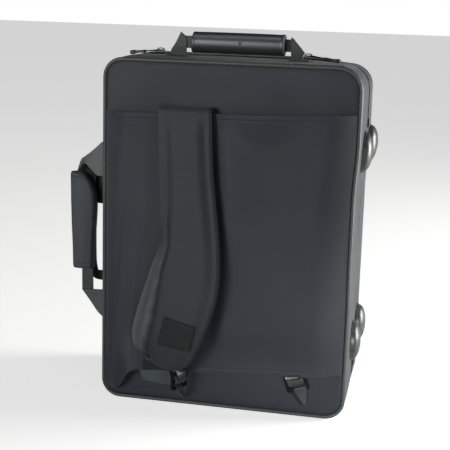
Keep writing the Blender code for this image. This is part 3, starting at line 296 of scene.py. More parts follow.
def build_woven():
    """Plain weave read from the object's own place: crossed threads on any flat face."""
    group, given, result = node_group("woven_threads", ("Pitch", "Mottle"), ("Shade", "Height"))
    place = add_node(group, "TexCoord", {}).outputs["Object"]
    runs = add_node(group, "SeparateXYZ", {0: place}).outputs
    waves = [wave_node(group, run, given.outputs["Pitch"]) for run in runs]
    crossed = math_node(group, "MULTIPLY", waves[0], waves[2])
    crossed = math_node(group, "MULTIPLY_ADD", waves[0], waves[1], crossed)
    crossed = math_node(group, "MULTIPLY_ADD", waves[1], waves[2], crossed)
    threads = math_node(group, "MULTIPLY_ADD", crossed, 0.35, 0.5)
    cloud = math_node(group, "SUBTRACT", noise_node(group, 16.0, 4.0, 0.6), 0.5)
    mottled = math_node(group, "MULTIPLY", cloud, given.outputs["Mottle"])
    fine = math_node(group, "MULTIPLY_ADD", noise_node(group, 900.0), 0.3, threads)
    shade = math_node(group, "MULTIPLY_ADD", fine, 0.5, 0.1)
    feed(group, result, {"Shade": math_node(group, "ADD", shade, mottled), "Height": fine})
    return group


def threaded(name, threads, counts, dark, light, roughness, gloss, depth, bump, sheen):
    """A material on a group of threads: two close colours over a bump of the threads."""
    material, tree, shader = new_material(name)
    weave = add_node(tree, "Group", counts, node_tree=threads).outputs
    if gloss:
        roughness = math_node(tree, "MULTIPLY_ADD", weave["Shade"], gloss, roughness)
    feed(tree, shader, {
        "Base Color": tone_node(tree, weave["Shade"], dark, light),
        "Roughness": roughness,
        "Normal": bump_node(tree, weave["Height"], bump, depth),
        "Sheen Weight": sheen,
    })
    return material


woven_threads = build_woven()


def cloth(name, dark, light, roughness, pitch, mottle=0.5, depth=0.0003, sheen=0.15):
    """A woven cloth, mottled."""
    counts = {"Pitch": pitch, "Mottle": mottle}
    return threaded(name, woven_threads, counts, dark, light, roughness, -0.12, depth, 0.35, sheen)


nylon = cloth(
    "charcoal_nylon", (0.0065, 0.0110, 0.0165), (0.0160, 0.0245, 0.0340), 0.64, 0.0011, mottle=0.75,
)


def soft_wave(x, y, z, reach, size):
    """Gentle unevenness of padded cloth."""
    return size * noise.noise(Vector((x / reach + 3.1, y / reach, z / reach)))


def sheet_grid(name, columns, rows, place):
    """A grid of points set by place(across, along), with both running from 0 to 1."""
    bpy.ops.mesh.primitive_grid_add(x_subdivisions=columns, y_subdivisions=rows, size=1.0)
    piece = bpy.context.object
    piece.name = name
    for vert in piece.data.vertices:
        vert.co = place(vert.co.x + 0.5, vert.co.y + 0.5)
    return piece


def cover_panel(name, outer_y, sign, crown, body, node):
    """A crowned panel with its edge rolled into the seam; sign is the way that it faces."""
    half, low, high = 0.1338, 0.0042, 0.3808
    half_z = (high - low) / 2

    def place(across, along):
        x, z = (
            math.copysign(1 - (1 - abs(share)) ** 1.6, share) * reach
            for share, reach in ((2 * across - 1, half), (2 * along - 1, half_z))
        )
        radius = corner_radii[1 if x > 0 else -1, 1 if z > 0 else -1] - 0.0042
        over_x, over_z = abs(x) - (half - radius), abs(z) - (half_z - radius)
        if over_x > 0 and over_z > 0:
            inwards = max(over_x, over_z) / math.hypot(over_x, over_z)
            over_x, over_z = over_x * inwards, over_z * inwards
            x = math.copysign(half - radius + over_x, x)
            z = math.copysign(half_z - radius + over_z, z)
        edge = radius - math.hypot(max(over_x, 0.0), max(over_z, 0.0))
        if over_x <= 0 and over_z <= 0:
            edge = min(half - abs(x), half_z - abs(z))
        roll = math.exp(-edge / 0.0022) * 0.0010
        rise = crown * (1 - (x / half) ** 2) * (1 - (z / half_z) ** 2)
        rise += soft_wave(x, outer_y, z, 0.055, 0.0005) * (1 - math.exp(-edge / 0.01))
        pucker = math.sin((x + z * 1.07) / 0.0021) * 0.00012 * math.exp(-edge / 0.003)
        return Vector((x, outer_y + sign * (rise - roll + pucker), z + (low + high) / 2))

    piece = shaped(sheet_grid(name, 72, 100, place), "SOLIDIFY", thickness=0.0032, offset=sign)
    dress(slump(settle(piece)), nylon, "nylon", body, node)


cover_panel("back_cover", back_y, -1, 0.0012, "base", "back_panel")
cover_panel("lid_cover", front_y, 1, 0.0010, "lid", "lid_panel")


def cover_wall(name, seam_y, rim_y, body, node):
    """A wall from the piping's seam to the zip: rolled at the seam, swollen, stepped for the tape."""
    way = 1 if rim_y > seam_y else -1
    length = abs(rim_y - seam_y)
    profile = [(0.0060, seam_y), (0.0026, seam_y), (0.0024, seam_y + way * 0.0008)]
    for step in range(15):
        y = seam_y + way * (0.0022 + (length - 0.0095) * step / 14)
        profile.append((0.0004 - 0.0007 * math.sin(math.pi * step / 14) ** 0.6, y))
    profile += [
        (0.0010, rim_y - way * 0.0066), (0.0021, rim_y - way * 0.0064), (0.0021, rim_y),
        (0.0060, rim_y),
    ]
    piece = sweep(name, case_line(0.0, side=34), True, profile)
    half_height = body_height / 2
    for vert in piece.data.vertices:
        x, y, z = vert.co
        at_side, at_end = abs(x / half_width) > 0.985, abs(z / half_height - 1) > 0.985
        push = soft_wave(x, y, z, 0.05, 0.0004)
        vert.co.x += push * (1 if x > 0 else -1) * at_side
        vert.co.z += push * (z > half_height) * at_end
    dress(slump(piece), nylon, "nylon", body, node)


cover_wall("base_cover", -0.0447, 0.04885, "base", "base_wall")
cover_wall("lid_side", 0.0907, 0.04915, "lid", "lid_wall")


# Piping
# A grey vinyl cord sewn into the seam between each panel and its wall, with the stitched flange that
# shows beside it as a fine ridge.
def grained(name, scale, detail, dark, light, rough, spread=0.0, bump=None, span=(0.0, 1.0), others=None):
    """A fine-grained material: two close tones, and a roughness and a bump that follow the grain."""
    material, tree, shader = new_material(name)
    grain = noise_node(tree, scale, detail)
    inputs = {"Base Color": tone_node(tree, grain, dark, light, span), "Roughness": rough}
    if spread:
        inputs["Roughness"] = math_node(tree, "MULTIPLY_ADD", grain, spread, rough)
    if bump:
        inputs["Normal"] = bump_node(tree, grain, *bump)
    feed(tree, shader, {**inputs, **(others or {})})
    return material


vinyl = grained(
    "grey_vinyl", 700.0, 3.0, (0.042, 0.047, 0.048), (0.072, 0.078, 0.080), 0.45, bump=(0.3, 0.0002),
)
for name, centre_y, body, node in (
    ("back_piping", -0.0480, "base", "base_piping"), ("front_piping", 0.0940, "lid", "lid_piping"),
):
    cord = [math.radians(a) for a in range(0, 360, 30)]
    cord = [(0.0020 - 0.0020 * math.cos(a), centre_y + 0.0020 * math.sin(a)) for a in cord]
    dress(slump(sweep(name, case_line(0.0, side=30), True, cord)), vinyl, "piping", body, node)


# Sleeve
# A loose nylon panel sewn to the back along both sides and open at top and bottom, with the shoulder
# straps behind it. Its open edges are turned in and stitched; it bulges over the stowed strap.
def soft_read(stations, place):
    """Read a value off a list of (place, value) with soft joins between them."""
    if place <= stations[0][0]:
        return stations[0][1]
    for (start, low), (end, high) in zip(stations, stations[1:]):
        if place <= end:
            return low + (high - low) * soft_step((place - start) / (end - start))
    return stations[-1][1]


def curve_read(stations, place):
    """Read a value off a list of (place, value) along a curve that passes through them all."""
    if place <= stations[0][0]:
        return stations[0][1]
    if place >= stations[-1][0]:
        return stations[-1][1]
    index = next(i for i in range(1, len(stations)) if place <= stations[i][0])
    (start, low), (end, high) = stations[index - 1], stations[index]
    before = stations[max(index - 2, 0)]
    after = stations[min(index + 1, len(stations) - 1)]
    share = (place - start) / (end - start)
    slope_in = (high - before[1]) / (end - before[0]) * (end - start)
    slope_out = (after[1] - low) / (after[0] - start) * (end - start)
    square, cube = share ** 2, share ** 3
    return (
        (2 * cube - 3 * square + 1) * low + (cube - 2 * square + share) * slope_in
        + (3 * square - 2 * cube) * high + (cube - square) * slope_out
    )


def near_step(place, middle, reach):
    return math.exp(-(((place - middle) / reach) ** 2))


def near_line(x, z, fold):
    """How near a point is to a fold given as (x, z, x, z, reach, size), from 0 to its size."""
    start_x, start_z, end_x, end_z, reach, size = fold
    way_x, way_z = end_x - start_x, end_z - start_z
    length = math.hypot(way_x, way_z)
    along = ((x - start_x) * way_x + (z - start_z) * way_z) / length ** 2
    aside = ((x - start_x) * way_z - (z - start_z) * way_x) / length
    return size * near_step(aside, 0.0, reach) * near_step(along, 0.5, 0.42)


sleeve_half = 0.1333
sleeve_folds = (
    (0.000, 0.330, 0.056, 0.243, 0.015, -0.0028), (0.058, 0.232, 0.088, 0.140, 0.012, -0.0020),
    (0.100, 0.270, 0.100, 0.170, 0.014, 0.0012), (-0.083, 0.335, -0.088, 0.170, 0.007, 0.0012),
    (-0.108, 0.330, -0.112, 0.180, 0.007, -0.0010),
)
sleeve_top = [
    (-0.1333, 0.3275), (-0.0800, 0.3275), (-0.0100, 0.3303), (0.0769, 0.3334), (0.1333, 0.3355),
]
sleeve_bottom = [
    (-0.1333, 0.0135), (-0.1240, 0.0120), (-0.1170, 0.0142), (-0.1100, 0.0225), (-0.1040, 0.0335),
    (-0.0975, 0.0385), (-0.0870, 0.0398), (-0.0220, 0.0416), (0.0500, 0.0474), (0.0920, 0.0490),
    (0.1333, 0.0539),
]


def sleeve_off(x, z):
    """How far the sleeve's inner face stands off the panel."""
    over_strap = 0.0120 - 0.0035 * soft_step((0.1001 - z) / 0.0404)
    stations = (
        (-sleeve_half, 0.0006), (-0.1080, 0.0065), (-0.0140, 0.0065), (0.0067, over_strap),
        (0.1000, over_strap),
    )
    edge = max((x - 0.1000) / (sleeve_half - 0.1000), 0.0)
    loose_hem = 0.0060 * near_step(x, -0.100, 0.014) * soft_step((0.085 - z) / 0.05)
    return 0.0006 + (soft_read(stations, x) - 0.0006) * (1 - min(edge, 1.0) ** 1.8) + loose_hem


def sleeve_point(across, share):
    x = sleeve_half * (2 * across - 1)
    bottom, top = curve_read(sleeve_bottom, x), curve_read(sleeve_top, x)
    z = bottom + (top - bottom) * share
    off = sleeve_off(x, z) + 0.0008
    loose = soft_step((sleeve_half - abs(x)) / 0.02)
    off += loose * soft_wave(x, 1.7, z * 0.45, 0.035, 0.0007)
    right = soft_step((x + 0.004) / 0.03) * loose
    off += right * 0.0062 * near_step(x, 0.046, 0.032) * soft_step((share - 0.88) / 0.12)
    off += 0.0020 * near_step(x, -0.098, 0.022) * soft_step((share - 0.90) / 0.10)
    off += loose * sum(near_line(x, z, fold) for fold in sleeve_folds)
    off += right * soft_wave(x * 0.8, 4.2, z * 0.5, 0.05, 0.0016)
    for start_x, lean, size in ((-0.117, 0.10, 0.0007), (-0.099, 0.06, 0.0006), (-0.124, 0.03, 0.0005)):
        off += size * near_step(x, start_x + lean * (z - 0.12), 0.0035) * soft_step((0.27 - z) / 0.1)
    hem = min(z - bottom, top - z)
    off += 0.00045 * (1 - soft_step((hem - 0.0072) / 0.0012))
    off -= 0.00050 * near_step(hem, 0.0060, 0.0009)
    return Vector((x, back_y - off, z))


# The sheet's rows are close together over its two hems
hem_steps = [0.0, 0.0006, 0.002, 0.004, 0.0052, 0.006, 0.0068, 0.0080, 0.0095, 0.012]
sleeve_rows = [s / 0.29 for s in hem_steps]
sleeve_rows += [sleeve_rows[-1] + (1 - 2 * sleeve_rows[-1]) * n / 84 for n in range(1, 84)]
sleeve_rows += [1 - s / 0.29 for s in reversed(hem_steps)]


def sleeve_place(across, along):
    last = len(sleeve_rows) - 1
    return sleeve_point(across, sleeve_rows[min(round(along * last), last)])


sleeve = sheet_grid("back_sleeve", 130, len(sleeve_rows) - 1, sleeve_place)
settle(shaped(sleeve, "SOLIDIFY", thickness=0.0013, offset=0.0))
dress(slump(sleeve), nylon, "nylon", "base", "strap_sleeve")


def in_corners(corners, across, down):
    """A place of (x, z) between four corners, which go round from the upper left one."""
    (x0, z0), (x1, z1), (x2, z2), (x3, z3) = corners
    x = (x0 + (x1 - x0) * across) * (1 - down) + (x3 + (x2 - x3) * across) * down
    z = (z0 + (z1 - z0) * across) * (1 - down) + (z3 + (z2 - z3) * across) * down
    return x, z


def flap(name, columns, corners, foot_y, lean, belly, material, slot, node):
    """A small piece of cloth between four corners, leaning out at its top and slightly curved."""
    def place(across, along):
        x, z = in_corners(corners, across, 1 - along)
        return Vector((x, foot_y - lean * along - belly * math.sin(math.pi * across), z))

    piece = shaped(sheet_grid(name, columns, 16, place), "SOLIDIFY", thickness=0.0012, offset=0.0)
    dress(settle(piece), material, slot, "base", node)


# A turned-out flap of the loose hem's lining beside the strap's end; its light tone is partly painted light
# on the panel below
flap(
    "sleeve_hem_lining_and_light", 24,
    ((-0.0955, 0.0440), (-0.0590, 0.0450), (-0.0530, 0.0215), (-0.0875, 0.0255)), -0.0526, 0.0016, 0.0006,
    cloth("hem_lining_and_light", (0.036, 0.046, 0.046), (0.068, 0.082, 0.082), 0.7, 0.0009, mottle=0.6),
    "nylon", "strap_sleeve",
)


def sheet_area(place):
    """Area and longest sides of a sheet set by place(across, along)."""
    area, count = 0.0, 40
    grid = [[place(c / count, r / count) for c in range(count + 1)] for r in range(count + 1)]
    for low, high in zip(grid, grid[1:]):
        for a, b, c, d in zip(low, low[1:], high[1:], high):
            area += ((b - a).cross(d - a).length + (b - c).cross(d - c).length) / 2
    width, length = (
        max(sum((b - a).length for a, b in zip(line, line[1:])) for line in lines)
        for lines in (grid, list(zip(*grid)))
    )
    return area, width, length


sleeve_area, sleeve_wide, sleeve_long = sheet_area(sleeve_point)


# Left strap
# A padded shoulder strap sewn to the panel behind the sleeve, folded over its top edge and hanging
# down outside. Foam between two layers of nylon, its edges bound with ribbed tape.
strap_nylon = cloth(
    "strap_nylon", (0.0065, 0.0105, 0.0150), (0.0150, 0.0215, 0.0290), 0.62, 0.0009, mottle=0.4,
)
# The lining tone where the edge turns in is partly painted light; painted shade darkens the fold by the end
strap_tree = strap_nylon.node_tree
strap_shader = strap_tree.nodes["Principled BSDF"]
tone = strap_shader.inputs["Base Color"].links[0].from_socket
for label, colour in (("lining_and_light", (0.070, 0.084, 0.084, 1.0)), ("painted_fold_shade", (0.001, 0.002, 0.002, 1.0))):
    share = add_node(strap_tree, "Attribute", {}, attribute_name=label).outputs["Fac"]
    inputs = {"Factor": share, "A": tone, "B": colour}
    tone = add_node(strap_tree, "Mix", inputs, data_type="RGBA").outputs["Result"]
feed(strap_tree, strap_shader, {"Base Color": tone})


def build_ribs():
    """Ribs across a tape and threads along it, read from the piece's own map in metres."""
    group, given, result = node_group("tape_ribs", ("Rib", "Thread"), ("Height", "Shade"))
    lie = add_node(group, "UVMap", {}, uv_map="run").outputs["UV"]
    runs = add_node(group, "SeparateXYZ", {0: lie}).outputs
    rib = wave_node(group, runs[1], given.outputs["Rib"])
    thread = wave_node(group, runs[0], given.outputs["Thread"])
    both = math_node(group, "MULTIPLY_ADD", rib, 0.30, 0.5)
    both = math_node(group, "MULTIPLY_ADD", thread, 0.18, both)
    both = math_node(group, "MULTIPLY_ADD", math_node(group, "MULTIPLY", rib, thread), 0.22, both)
    cloud = math_node(group, "SUBTRACT", noise_node(group, 60.0, 4.0), 0.5)
    feed(group, result, {"Height": both, "Shade": math_node(group, "MULTIPLY_ADD", cloud, 0.7, both)})
    return group


tape_ribs = build_ribs()


def ribbed(name, dark, light, roughness, rib, thread, sheen=0.1):
    """A woven tape with ribs across it."""
    counts = {"Rib": rib, "Thread": thread}
    return threaded(name, tape_ribs, counts, dark, light, roughness, 0.0, 0.0003, 0.5, sheen)


# Near-black ribbed binding tape, darkened as painted shade for the hanging strap's shaded right edge and
# the dark sheet past its end
binding_and_shade_tape = ribbed(
    "binding_and_shade_tape", (0.002, 0.004, 0.005), (0.006, 0.009, 0.011), 0.75, 0.0011, 0.0013, sheen=0.0,
)


def new_piece(name, shape):
    mesh = bpy.data.meshes.new(name)
    shape.to_mesh(mesh)
    shape.free()
    piece = bpy.data.objects.new(name, mesh)
    scene.collection.objects.link(piece)
    return piece


def distances(points):
    """How far each point of a closed line lies along it, and its whole length."""
    run = [0.0]
    for point, following in zip(points, points[1:] + points[:1]):
        run.append(run[-1] + (following - point).length)
    return run


def loft(name, rings, smooth=60):
    """Skin a row of closed rings of points; the map called run is in metres, round and along."""
    shape = bmesh.new()
    lie = shape.loops.layers.uv.new("run")
    rows = [[shape.verts.new(point) for point in ring] for ring in rings]
    count = len(rings[0])
    round_at = distances([Vector(point) for point in rings[len(rings) // 2]])
    along_at = distances([sum((Vector(point) for point in ring), Vector()) / count for ring in rings])
    for row, (near, far) in enumerate(zip(rows, rows[1:])):
        for index in range(count):
            other = (index + 1) % count
            face = shape.faces.new((near[index], near[other], far[other], far[index]))
            places = ((0, 0), (1, 0), (1, 1), (0, 1))
            for loop, (step, ahead) in zip(face.loops, places):
                loop[lie].uv = (round_at[index + step], along_at[row + ahead])
    shape.faces.new(rows[0][::-1])
    shape.faces.new(rows[-1])
    return settle(new_piece(name, shape), smooth)


strap_route = (
    (0.2980, 0, 0), (0.3219, 0, 0), (0.3306, 0.055, 0), (0.3350, 0.45, 0), (0.3317, 0.88, 0),
    (0.3210, 1, 0), (0.2999, 1, 0.105), (0.2720, 1, 0.20), (0.2441, 1, 0.32), (0.2160, 1, 0.475),
    (0.1879, 1, 0.66), (0.1600, 1, 0.845), (0.1321, 1, 0.97), (0.1040, 1, 1), (0.0801, 1, 0.91),
    (0.0635, 1, 0.77), (0.0543, 1, 0.66), (0.0485, 1, 0.57),
)
strap_edges = (
    (0.0485, -0.0570, -0.0381), (0.0525, -0.0720, -0.0330), (0.0590, -0.0870, -0.0270),
    (0.0680, -0.0940, -0.0220), (0.0740, -0.0962, -0.0194), (0.0790, -0.0972, -0.0168),
    (0.0880, -0.0973, -0.0138), (0.1040, -0.0938, -0.0080), (0.1321, -0.0855, -0.0001),
    (0.1600, -0.0765, 0.0025), (0.1879, -0.0665, 0.0010), (0.2160, -0.0654, -0.0024),
    (0.2441, -0.0664, -0.0064), (0.2720, -0.0684, -0.0098), (0.3400, -0.0721, -0.0141),
)
strap_middle = [(z, (left + right) / 2) for z, left, right in strap_edges]
strap_half = [(z, (right - left) / 2) for z, left, right in strap_edges]
strap_crease = [
    (0.0485, 0.15), (0.0600, 0.225), (0.0690, 0.235), (0.0885, 0.285), (0.1040, 0.28),
    (0.1260, 0.24), (0.1900, 0.15), (0.2500, 0.06),
]


def strap_sheet(across, along):
    """A point on the middle surface of the hanging strap; along runs from its root to its tip."""
    step = along * (len(strap_route) - 1)
    z, passage, belly = (
        curve_read([(n, row[value]) for n, row in enumerate(strap_route)], step) for value in range(3)
    )
    off = 0.0027 + 0.0113 * passage + 0.0162 * belly
    x = curve_read(strap_middle, z) + curve_read(strap_half, z) * (2 * across - 1)
    hanging = soft_step((along - 0.18) / 0.12)
    turned_in = soft_step((0.2449 - z) / 0.0947)
    crease = curve_read(strap_crease, z)
    end = soft_step((0.090 - z) / 0.025)
    flank = soft_step((crease - across) / crease)
    cleft = near_step(across, crease, 0.042 + 0.035 * end)
    off -= hanging * turned_in * (0.0165 * flank * belly + (0.0060 + 0.0075 * end) * cleft)
    return Vector((x, back_y - off, z))


def strap_frame(across, along):
    """The middle surface's point, and the way out of its outer face."""
    near = 0.004
    low, high = max(along - near, 0.0), min(along + near, 1.0)
    run = strap_sheet(across, high) - strap_sheet(across, low)
    left, right = max(across - 0.02, 0.0), min(across + 0.02, 1.0)
    side = strap_sheet(right, along) - strap_sheet(left, along)
    return strap_sheet(across, along), run.cross(side).normalized()


def strap_pad(across, along, wide):
    """Half the strap's thickness: thin under the bound edge, full over the pad."""
    hanging = soft_step((along - 0.24) / 0.12)
    edge = min(across, 1 - across) * wide
    full = 0.0020 + 0.0030 * soft_step((edge - 0.0075) / 0.0095)
    full -= (0.0005 if across > 0.5 else 0.0002) * near_step(edge, 0.0078, 0.0012)
    return 0.0016 + (full - 0.0016) * hanging


def strap_skin(across, along, side, proud=0.0):
    point, out = strap_frame(across, along)
    wide = 2 * curve_read(strap_half, point.z)
    return point + out * side * (strap_pad(across, along, wide) + proud)


strap_columns = [0.0, 0.02, 0.05, 0.09, 0.12, 0.15, 0.18, 0.21, 0.24, 0.27, 0.30, 0.34, 0.39, 0.44, 0.5]
strap_columns += [1 - share for share in reversed(strap_columns[:-1])]
strap_rows = [0.84 * n / 92 for n in range(93)] + [0.84 + 0.16 * n / 44 for n in range(1, 45)]


def strap_loft(name, skin, rows):
    """A closed strap between the outer and the inner face of a skin."""
    return loft(name, [
        [skin(across, along, 1) for across in strap_columns]
        + [skin(across, along, -1) for across in reversed(strap_columns)]
        for along in rows
    ])


def paint(piece, label, value_at):
    """A number at each vertex, which the material reads by its label."""
    layer = piece.data.attributes.new(label, "FLOAT", "POINT")
    for vert in piece.data.vertices:
        layer.data[vert.index].value = value_at(vert.co.x, vert.co.z)


# The lighter lining tone where the strap's edge turns in, partly painted light on the flank that faces the
# lamp
def lining_and_light_at(x, z):
    crease = curve_read(strap_crease, z)
    across = (x - curve_read(strap_middle, z)) / (2 * curve_read(strap_half, z)) + 0.5
    turned = soft_step((crease - 0.03 - across) / 0.05) * soft_step((0.205 - z) / 0.04)
    return turned * soft_step((z - 0.048) / 0.015)


# Painted shade in the fold beside the strap's end, strongest at its middle
def painted_fold_shade_at(x, z):
    return 0.85 * near_step(x, -0.0790 + 0.25 * (z - 0.060), 0.0080) * near_step(z, 0.060, 0.0150)


left_strap = strap_loft("hanging_strap", strap_skin, strap_rows)
# Paint the lining tone, partly painted light, and the painted shade of the fold
paint(left_strap, "lining_and_light", lining_and_light_at)
paint(left_strap, "painted_fold_shade", painted_fold_shade_at)
for vert in left_strap.data.vertices:
    x, y, z = vert.co
    vert.co.y += soft_wave(x, y * 0.2, z, 0.022, 0.0005) * soft_step((0.32 - z) / 0.03)
dress(left_strap, strap_nylon, "strap_nylon", "base", "left_strap")

# A dark sheet past the strap's end where the padding stops: painted shadow of the strap on the sleeve
flap(
    "strap_end_painted_shadow", 20,
    ((-0.0824, 0.0684), (-0.0616, 0.0658), (-0.0500, 0.0440), (-0.0860, 0.0400)), -0.0600, 0.0040, 0.0010,
    binding_and_shade_tape, "strap_nylon", "left_strap",
)


def edge_binding(name, skin, width_at, rows, side, reach=0.0088):
    """Tape folded round one edge of a strap; side is 0 for its left edge and 1 for its right."""
    rings = []
    for along in rows:
        share = [min(reach * part / width_at(along), 0.42) for part in (1.0, 0.68, 0.34, 0.0)]
        places = [abs(side - s) for s in share]
        ring = [skin(places[0], along, 1, -0.0006)]
        ring += [skin(place, along, 1, 0.00035) for place in places]
        edge = skin(places[3], along, 1, 0.0) + skin(places[3], along, -1, 0.0)
        outwards = (skin(float(side), along, 0, 0.0) - skin(abs(side - 0.1), along, 0, 0.0)).normalized()
        ring.append(edge / 2 + outwards * 0.0009)
        ring += [skin(place, along, -1, 0.0005) for place in reversed(places)]
        ring.append(skin(places[0], along, -1, -0.0006))
        rings.append(ring)
    return loft(name, rings)


def strap_wide(along):
    return 2 * curve_read(strap_half, strap_sheet(0.5, along).z)


# The lining tone on the left binding, partly painted light
def turned_edge_at(x, z):
    return soft_step((0.200 - z) / 0.04) * soft_step((z - 0.056) / 0.02)


# The right edge is bound in the near-black tape as painted shade along its shaded side; the left edge in
# strap nylon
for side, label, reach, tape in ((0, "left", 0.0088, strap_nylon), (1, "right", 0.0034, binding_and_shade_tape)):
    name = "hanging_strap_binding_" + label
    piece = edge_binding(name, strap_skin, strap_wide, strap_rows[16:], side, reach)
    if tape is strap_nylon:
        # The left binding takes the lining tone, partly painted light, and the painted fold shade
        paint(piece, "lining_and_light", turned_edge_at)
        paint(piece, "painted_fold_shade", painted_fold_shade_at)
    dress(piece, tape, "strap_nylon", "base", "left_strap")


# Stowed strap
# The right strap is the same, tucked flat between the panel and the sleeve.
stowed_middle = [
    (0.0685, 0.0767), (0.0782, 0.0742), (0.1001, 0.0660), (0.1301, 0.0540), (0.1600, 0.0440),
    (0.1902, 0.0380), (0.2198, 0.0380), (0.2610, 0.0420), (0.3299, 0.0440),
]
stowed_half = [
    (0.0685, 0.0110), (0.0782, 0.0200), (0.1001, 0.0270), (0.1301, 0.0299), (0.1600, 0.0310),
    (0.1902, 0.0310), (0.2198, 0.0305), (0.2610, 0.0296), (0.3299, 0.0290),
]


def stowed_skin(across, along, side, proud=0.0):
    z = 0.3299 - 0.2614 * along
    half = curve_read(stowed_half, z)
    edge = min(across, 1 - across) * 2 * half
    thick = 0.0018 + 0.0026 * soft_step((edge - 0.0075) / 0.0095) + proud
    x = curve_read(stowed_middle, z) + half * (2 * across - 1)
    return Vector((x, -0.0547 - side * thick, z))


stowed_rows = [n / 60 for n in range(61)]
right_strap = strap_loft("stowed_strap", stowed_skin, stowed_rows)
dress(right_strap, strap_nylon, "strap_nylon", "base", "right_strap")


def stowed_wide(along):
    return 2 * curve_read(stowed_half, 0.3299 - 0.2614 * along)


for side, label in ((0, "left"), (1, "right")):
    piece = edge_binding("stowed_strap_binding_" + label, stowed_skin, stowed_wide, stowed_rows, side)
    dress(piece, binding_and_shade_tape, "strap_nylon", "base", "right_strap")


# Strap ends
# Each strap ends in a patch of webbing sewn on with a boxed cross, and its webbing runs on down
# through a ladder buckle of black nylon on a triangular tab that is sewn low on the panel.
webbing_tape = ribbed("grey_webbing", (0.050, 0.056, 0.057), (0.120, 0.132, 0.132), 0.46, 0.0016, 0.0021)
strap_tape = ribbed("strap_webbing", (0.020, 0.024, 0.025), (0.056, 0.064, 0.065), 0.46, 0.0014, 0.0018)
handle_tape = ribbed("handle_webbing", (0.014, 0.017, 0.018), (0.040, 0.046, 0.047), 0.48, 0.0016, 0.0021)
patch_tape = ribbed(
    "black_webbing", (0.002, 0.003, 0.0035), (0.007, 0.0095, 0.010), 0.75, 0.0014, 0.0018, sheen=0.0,
)
thread = cloth("sewing_thread", (0.005, 0.007, 0.008), (0.014, 0.017, 0.019), 0.75, 0.0006, depth=0.0001)


def add_solid(shape, rings):
    """One of many small solids in a mesh: a row of rings of points, closed at both ends."""
    rings = [[shape.verts.new(point) for point in ring] for ring in rings]
    for near, far in zip(rings, rings[1:]):
        for n, corner in enumerate(near):
            other = (n + 1) % len(near)
            shape.faces.new((corner, near[other], far[other], far[n]))
    shape.faces.new(rings[0][::-1])
    shape.faces.new(rings[-1])


def finish_solids(name, shape):
    bmesh.ops.recalc_face_normals(shape, faces=shape.faces)
    piece = new_piece(name, shape)
    piece.data.shade_smooth()
    return piece


def stitches(name, path, outs, body, slot):
    """A row of sewn stitches along a path of points, each a short raised thread."""
    length, gap, radius = 0.0026, 0.0013, 0.00030
    spans = [(b - a).length for a, b in zip(path, path[1:])]
    total = sum(spans)
    count = max(int(total / (length + gap)), 1)
    pitch = total / count

    def at(distance):
        for index, span in enumerate(spans):
            if distance <= span or index == len(spans) - 1:
                share = min(distance / max(span, 1e-9), 1.0)
                point = path[index].lerp(path[index + 1], share)
                return point, outs[index].lerp(outs[index + 1], share).normalized()
            distance -= span

    shape = bmesh.new()
    for number in range(count):
        rings = []
        for share, rise in ((0.0, -0.9), (0.22, 0.55), (0.78, 0.55), (1.0, -0.9)):
            place = number * pitch + gap / 2 + share * (pitch - gap)
            point, out = at(place)
            ahead, _ = at(min(place + 0.0004, total))
            behind, _ = at(max(place - 0.0004, 0.0))
            side = (ahead - behind).normalized().cross(out).normalized() * radius
            middle = point + out * rise * radius
            corners = (side * 1.1, out * radius * 0.9, side * -1.1, out * radius * -0.9)
            rings.append([middle + corner for corner in corners])
        add_solid(shape, rings)
    dress(finish_solids(name, shape), thread, slot, body)


def strip(name, stations, thickness):
    """Webbing along stations of (middle, way across, way out, half width)."""
    rings = []
    for middle, across, out, half in stations:
        sides = [across * share * half for share in (-0.6, -0.2, 0.2, 0.6)]
        sides = [across * -(half - 0.0004), *sides, across * (half - 0.0004)]
        rise = out * (thickness / 2)
        ring = [middle + side + rise for side in sides] + [middle + across * half]
        ring += [middle + side - rise for side in reversed(sides)] + [middle - across * half]
        rings.append(ring)
    return loft(name, rings)


def on_strap(x, z, lift):
    """The point of the hanging strap's outer face at this x and z, raised by lift, and its way out."""
    low, high = 0.30, 1.0
    for _ in range(24):
        along = (low + high) / 2
        if strap_sheet(0.5, along).z > z:
            low = along
        else:
            high = along
    half = curve_read(strap_half, z)
    across = min(max((x - curve_read(strap_middle, z)) / (2 * half) + 0.5, 0.02), 0.98)
    point, out = strap_frame(across, along)
    return point + out * (strap_pad(across, along, 2 * half) + lift), out


patch_corners = ((-0.0560, 0.1112), (-0.0205, 0.1030), (-0.0272, 0.0740), (-0.0640, 0.0800))


def patch_point(place, lift):
    return on_strap(*in_corners(patch_corners, *place), lift)


rings = []
edge_places = [0.0, 0.03, 0.1, 0.2, 0.35, 0.5, 0.65, 0.8, 0.9, 0.97, 1.0]
for down in edge_places:
    rim = 0.0012 if down in (0.0, 1.0) else 0.0018
    ring = [patch_point((a, down), rim if 0.0 < a < 1.0 else 0.0012)[0] for a in edge_places]
    ring += [patch_point((a, down), -0.0002)[0] for a in reversed(edge_places)]
    rings.append(ring)
dress(loft("strap_end_patch", rings), patch_tape, "webbing", "base", "left_strap_webbing")
near_edge, far_edge = 0.08, 0.92
box = [Vector((a, b)) for a, b in (
    (near_edge, near_edge), (far_edge, near_edge), (far_edge, far_edge), (near_edge, far_edge),
    (near_edge, near_edge), (far_edge, far_edge), (far_edge, near_edge), (near_edge, far_edge),
)]
for number in (0, 1, 2, 3, 4, 6):
    row = [patch_point(box[number].lerp(box[number + 1], n / 8), 0.0019) for n in range(9)]
    path, outs = zip(*row)
    stitches("strap_end_box_%d" % number, path, outs, "base", "webbing")

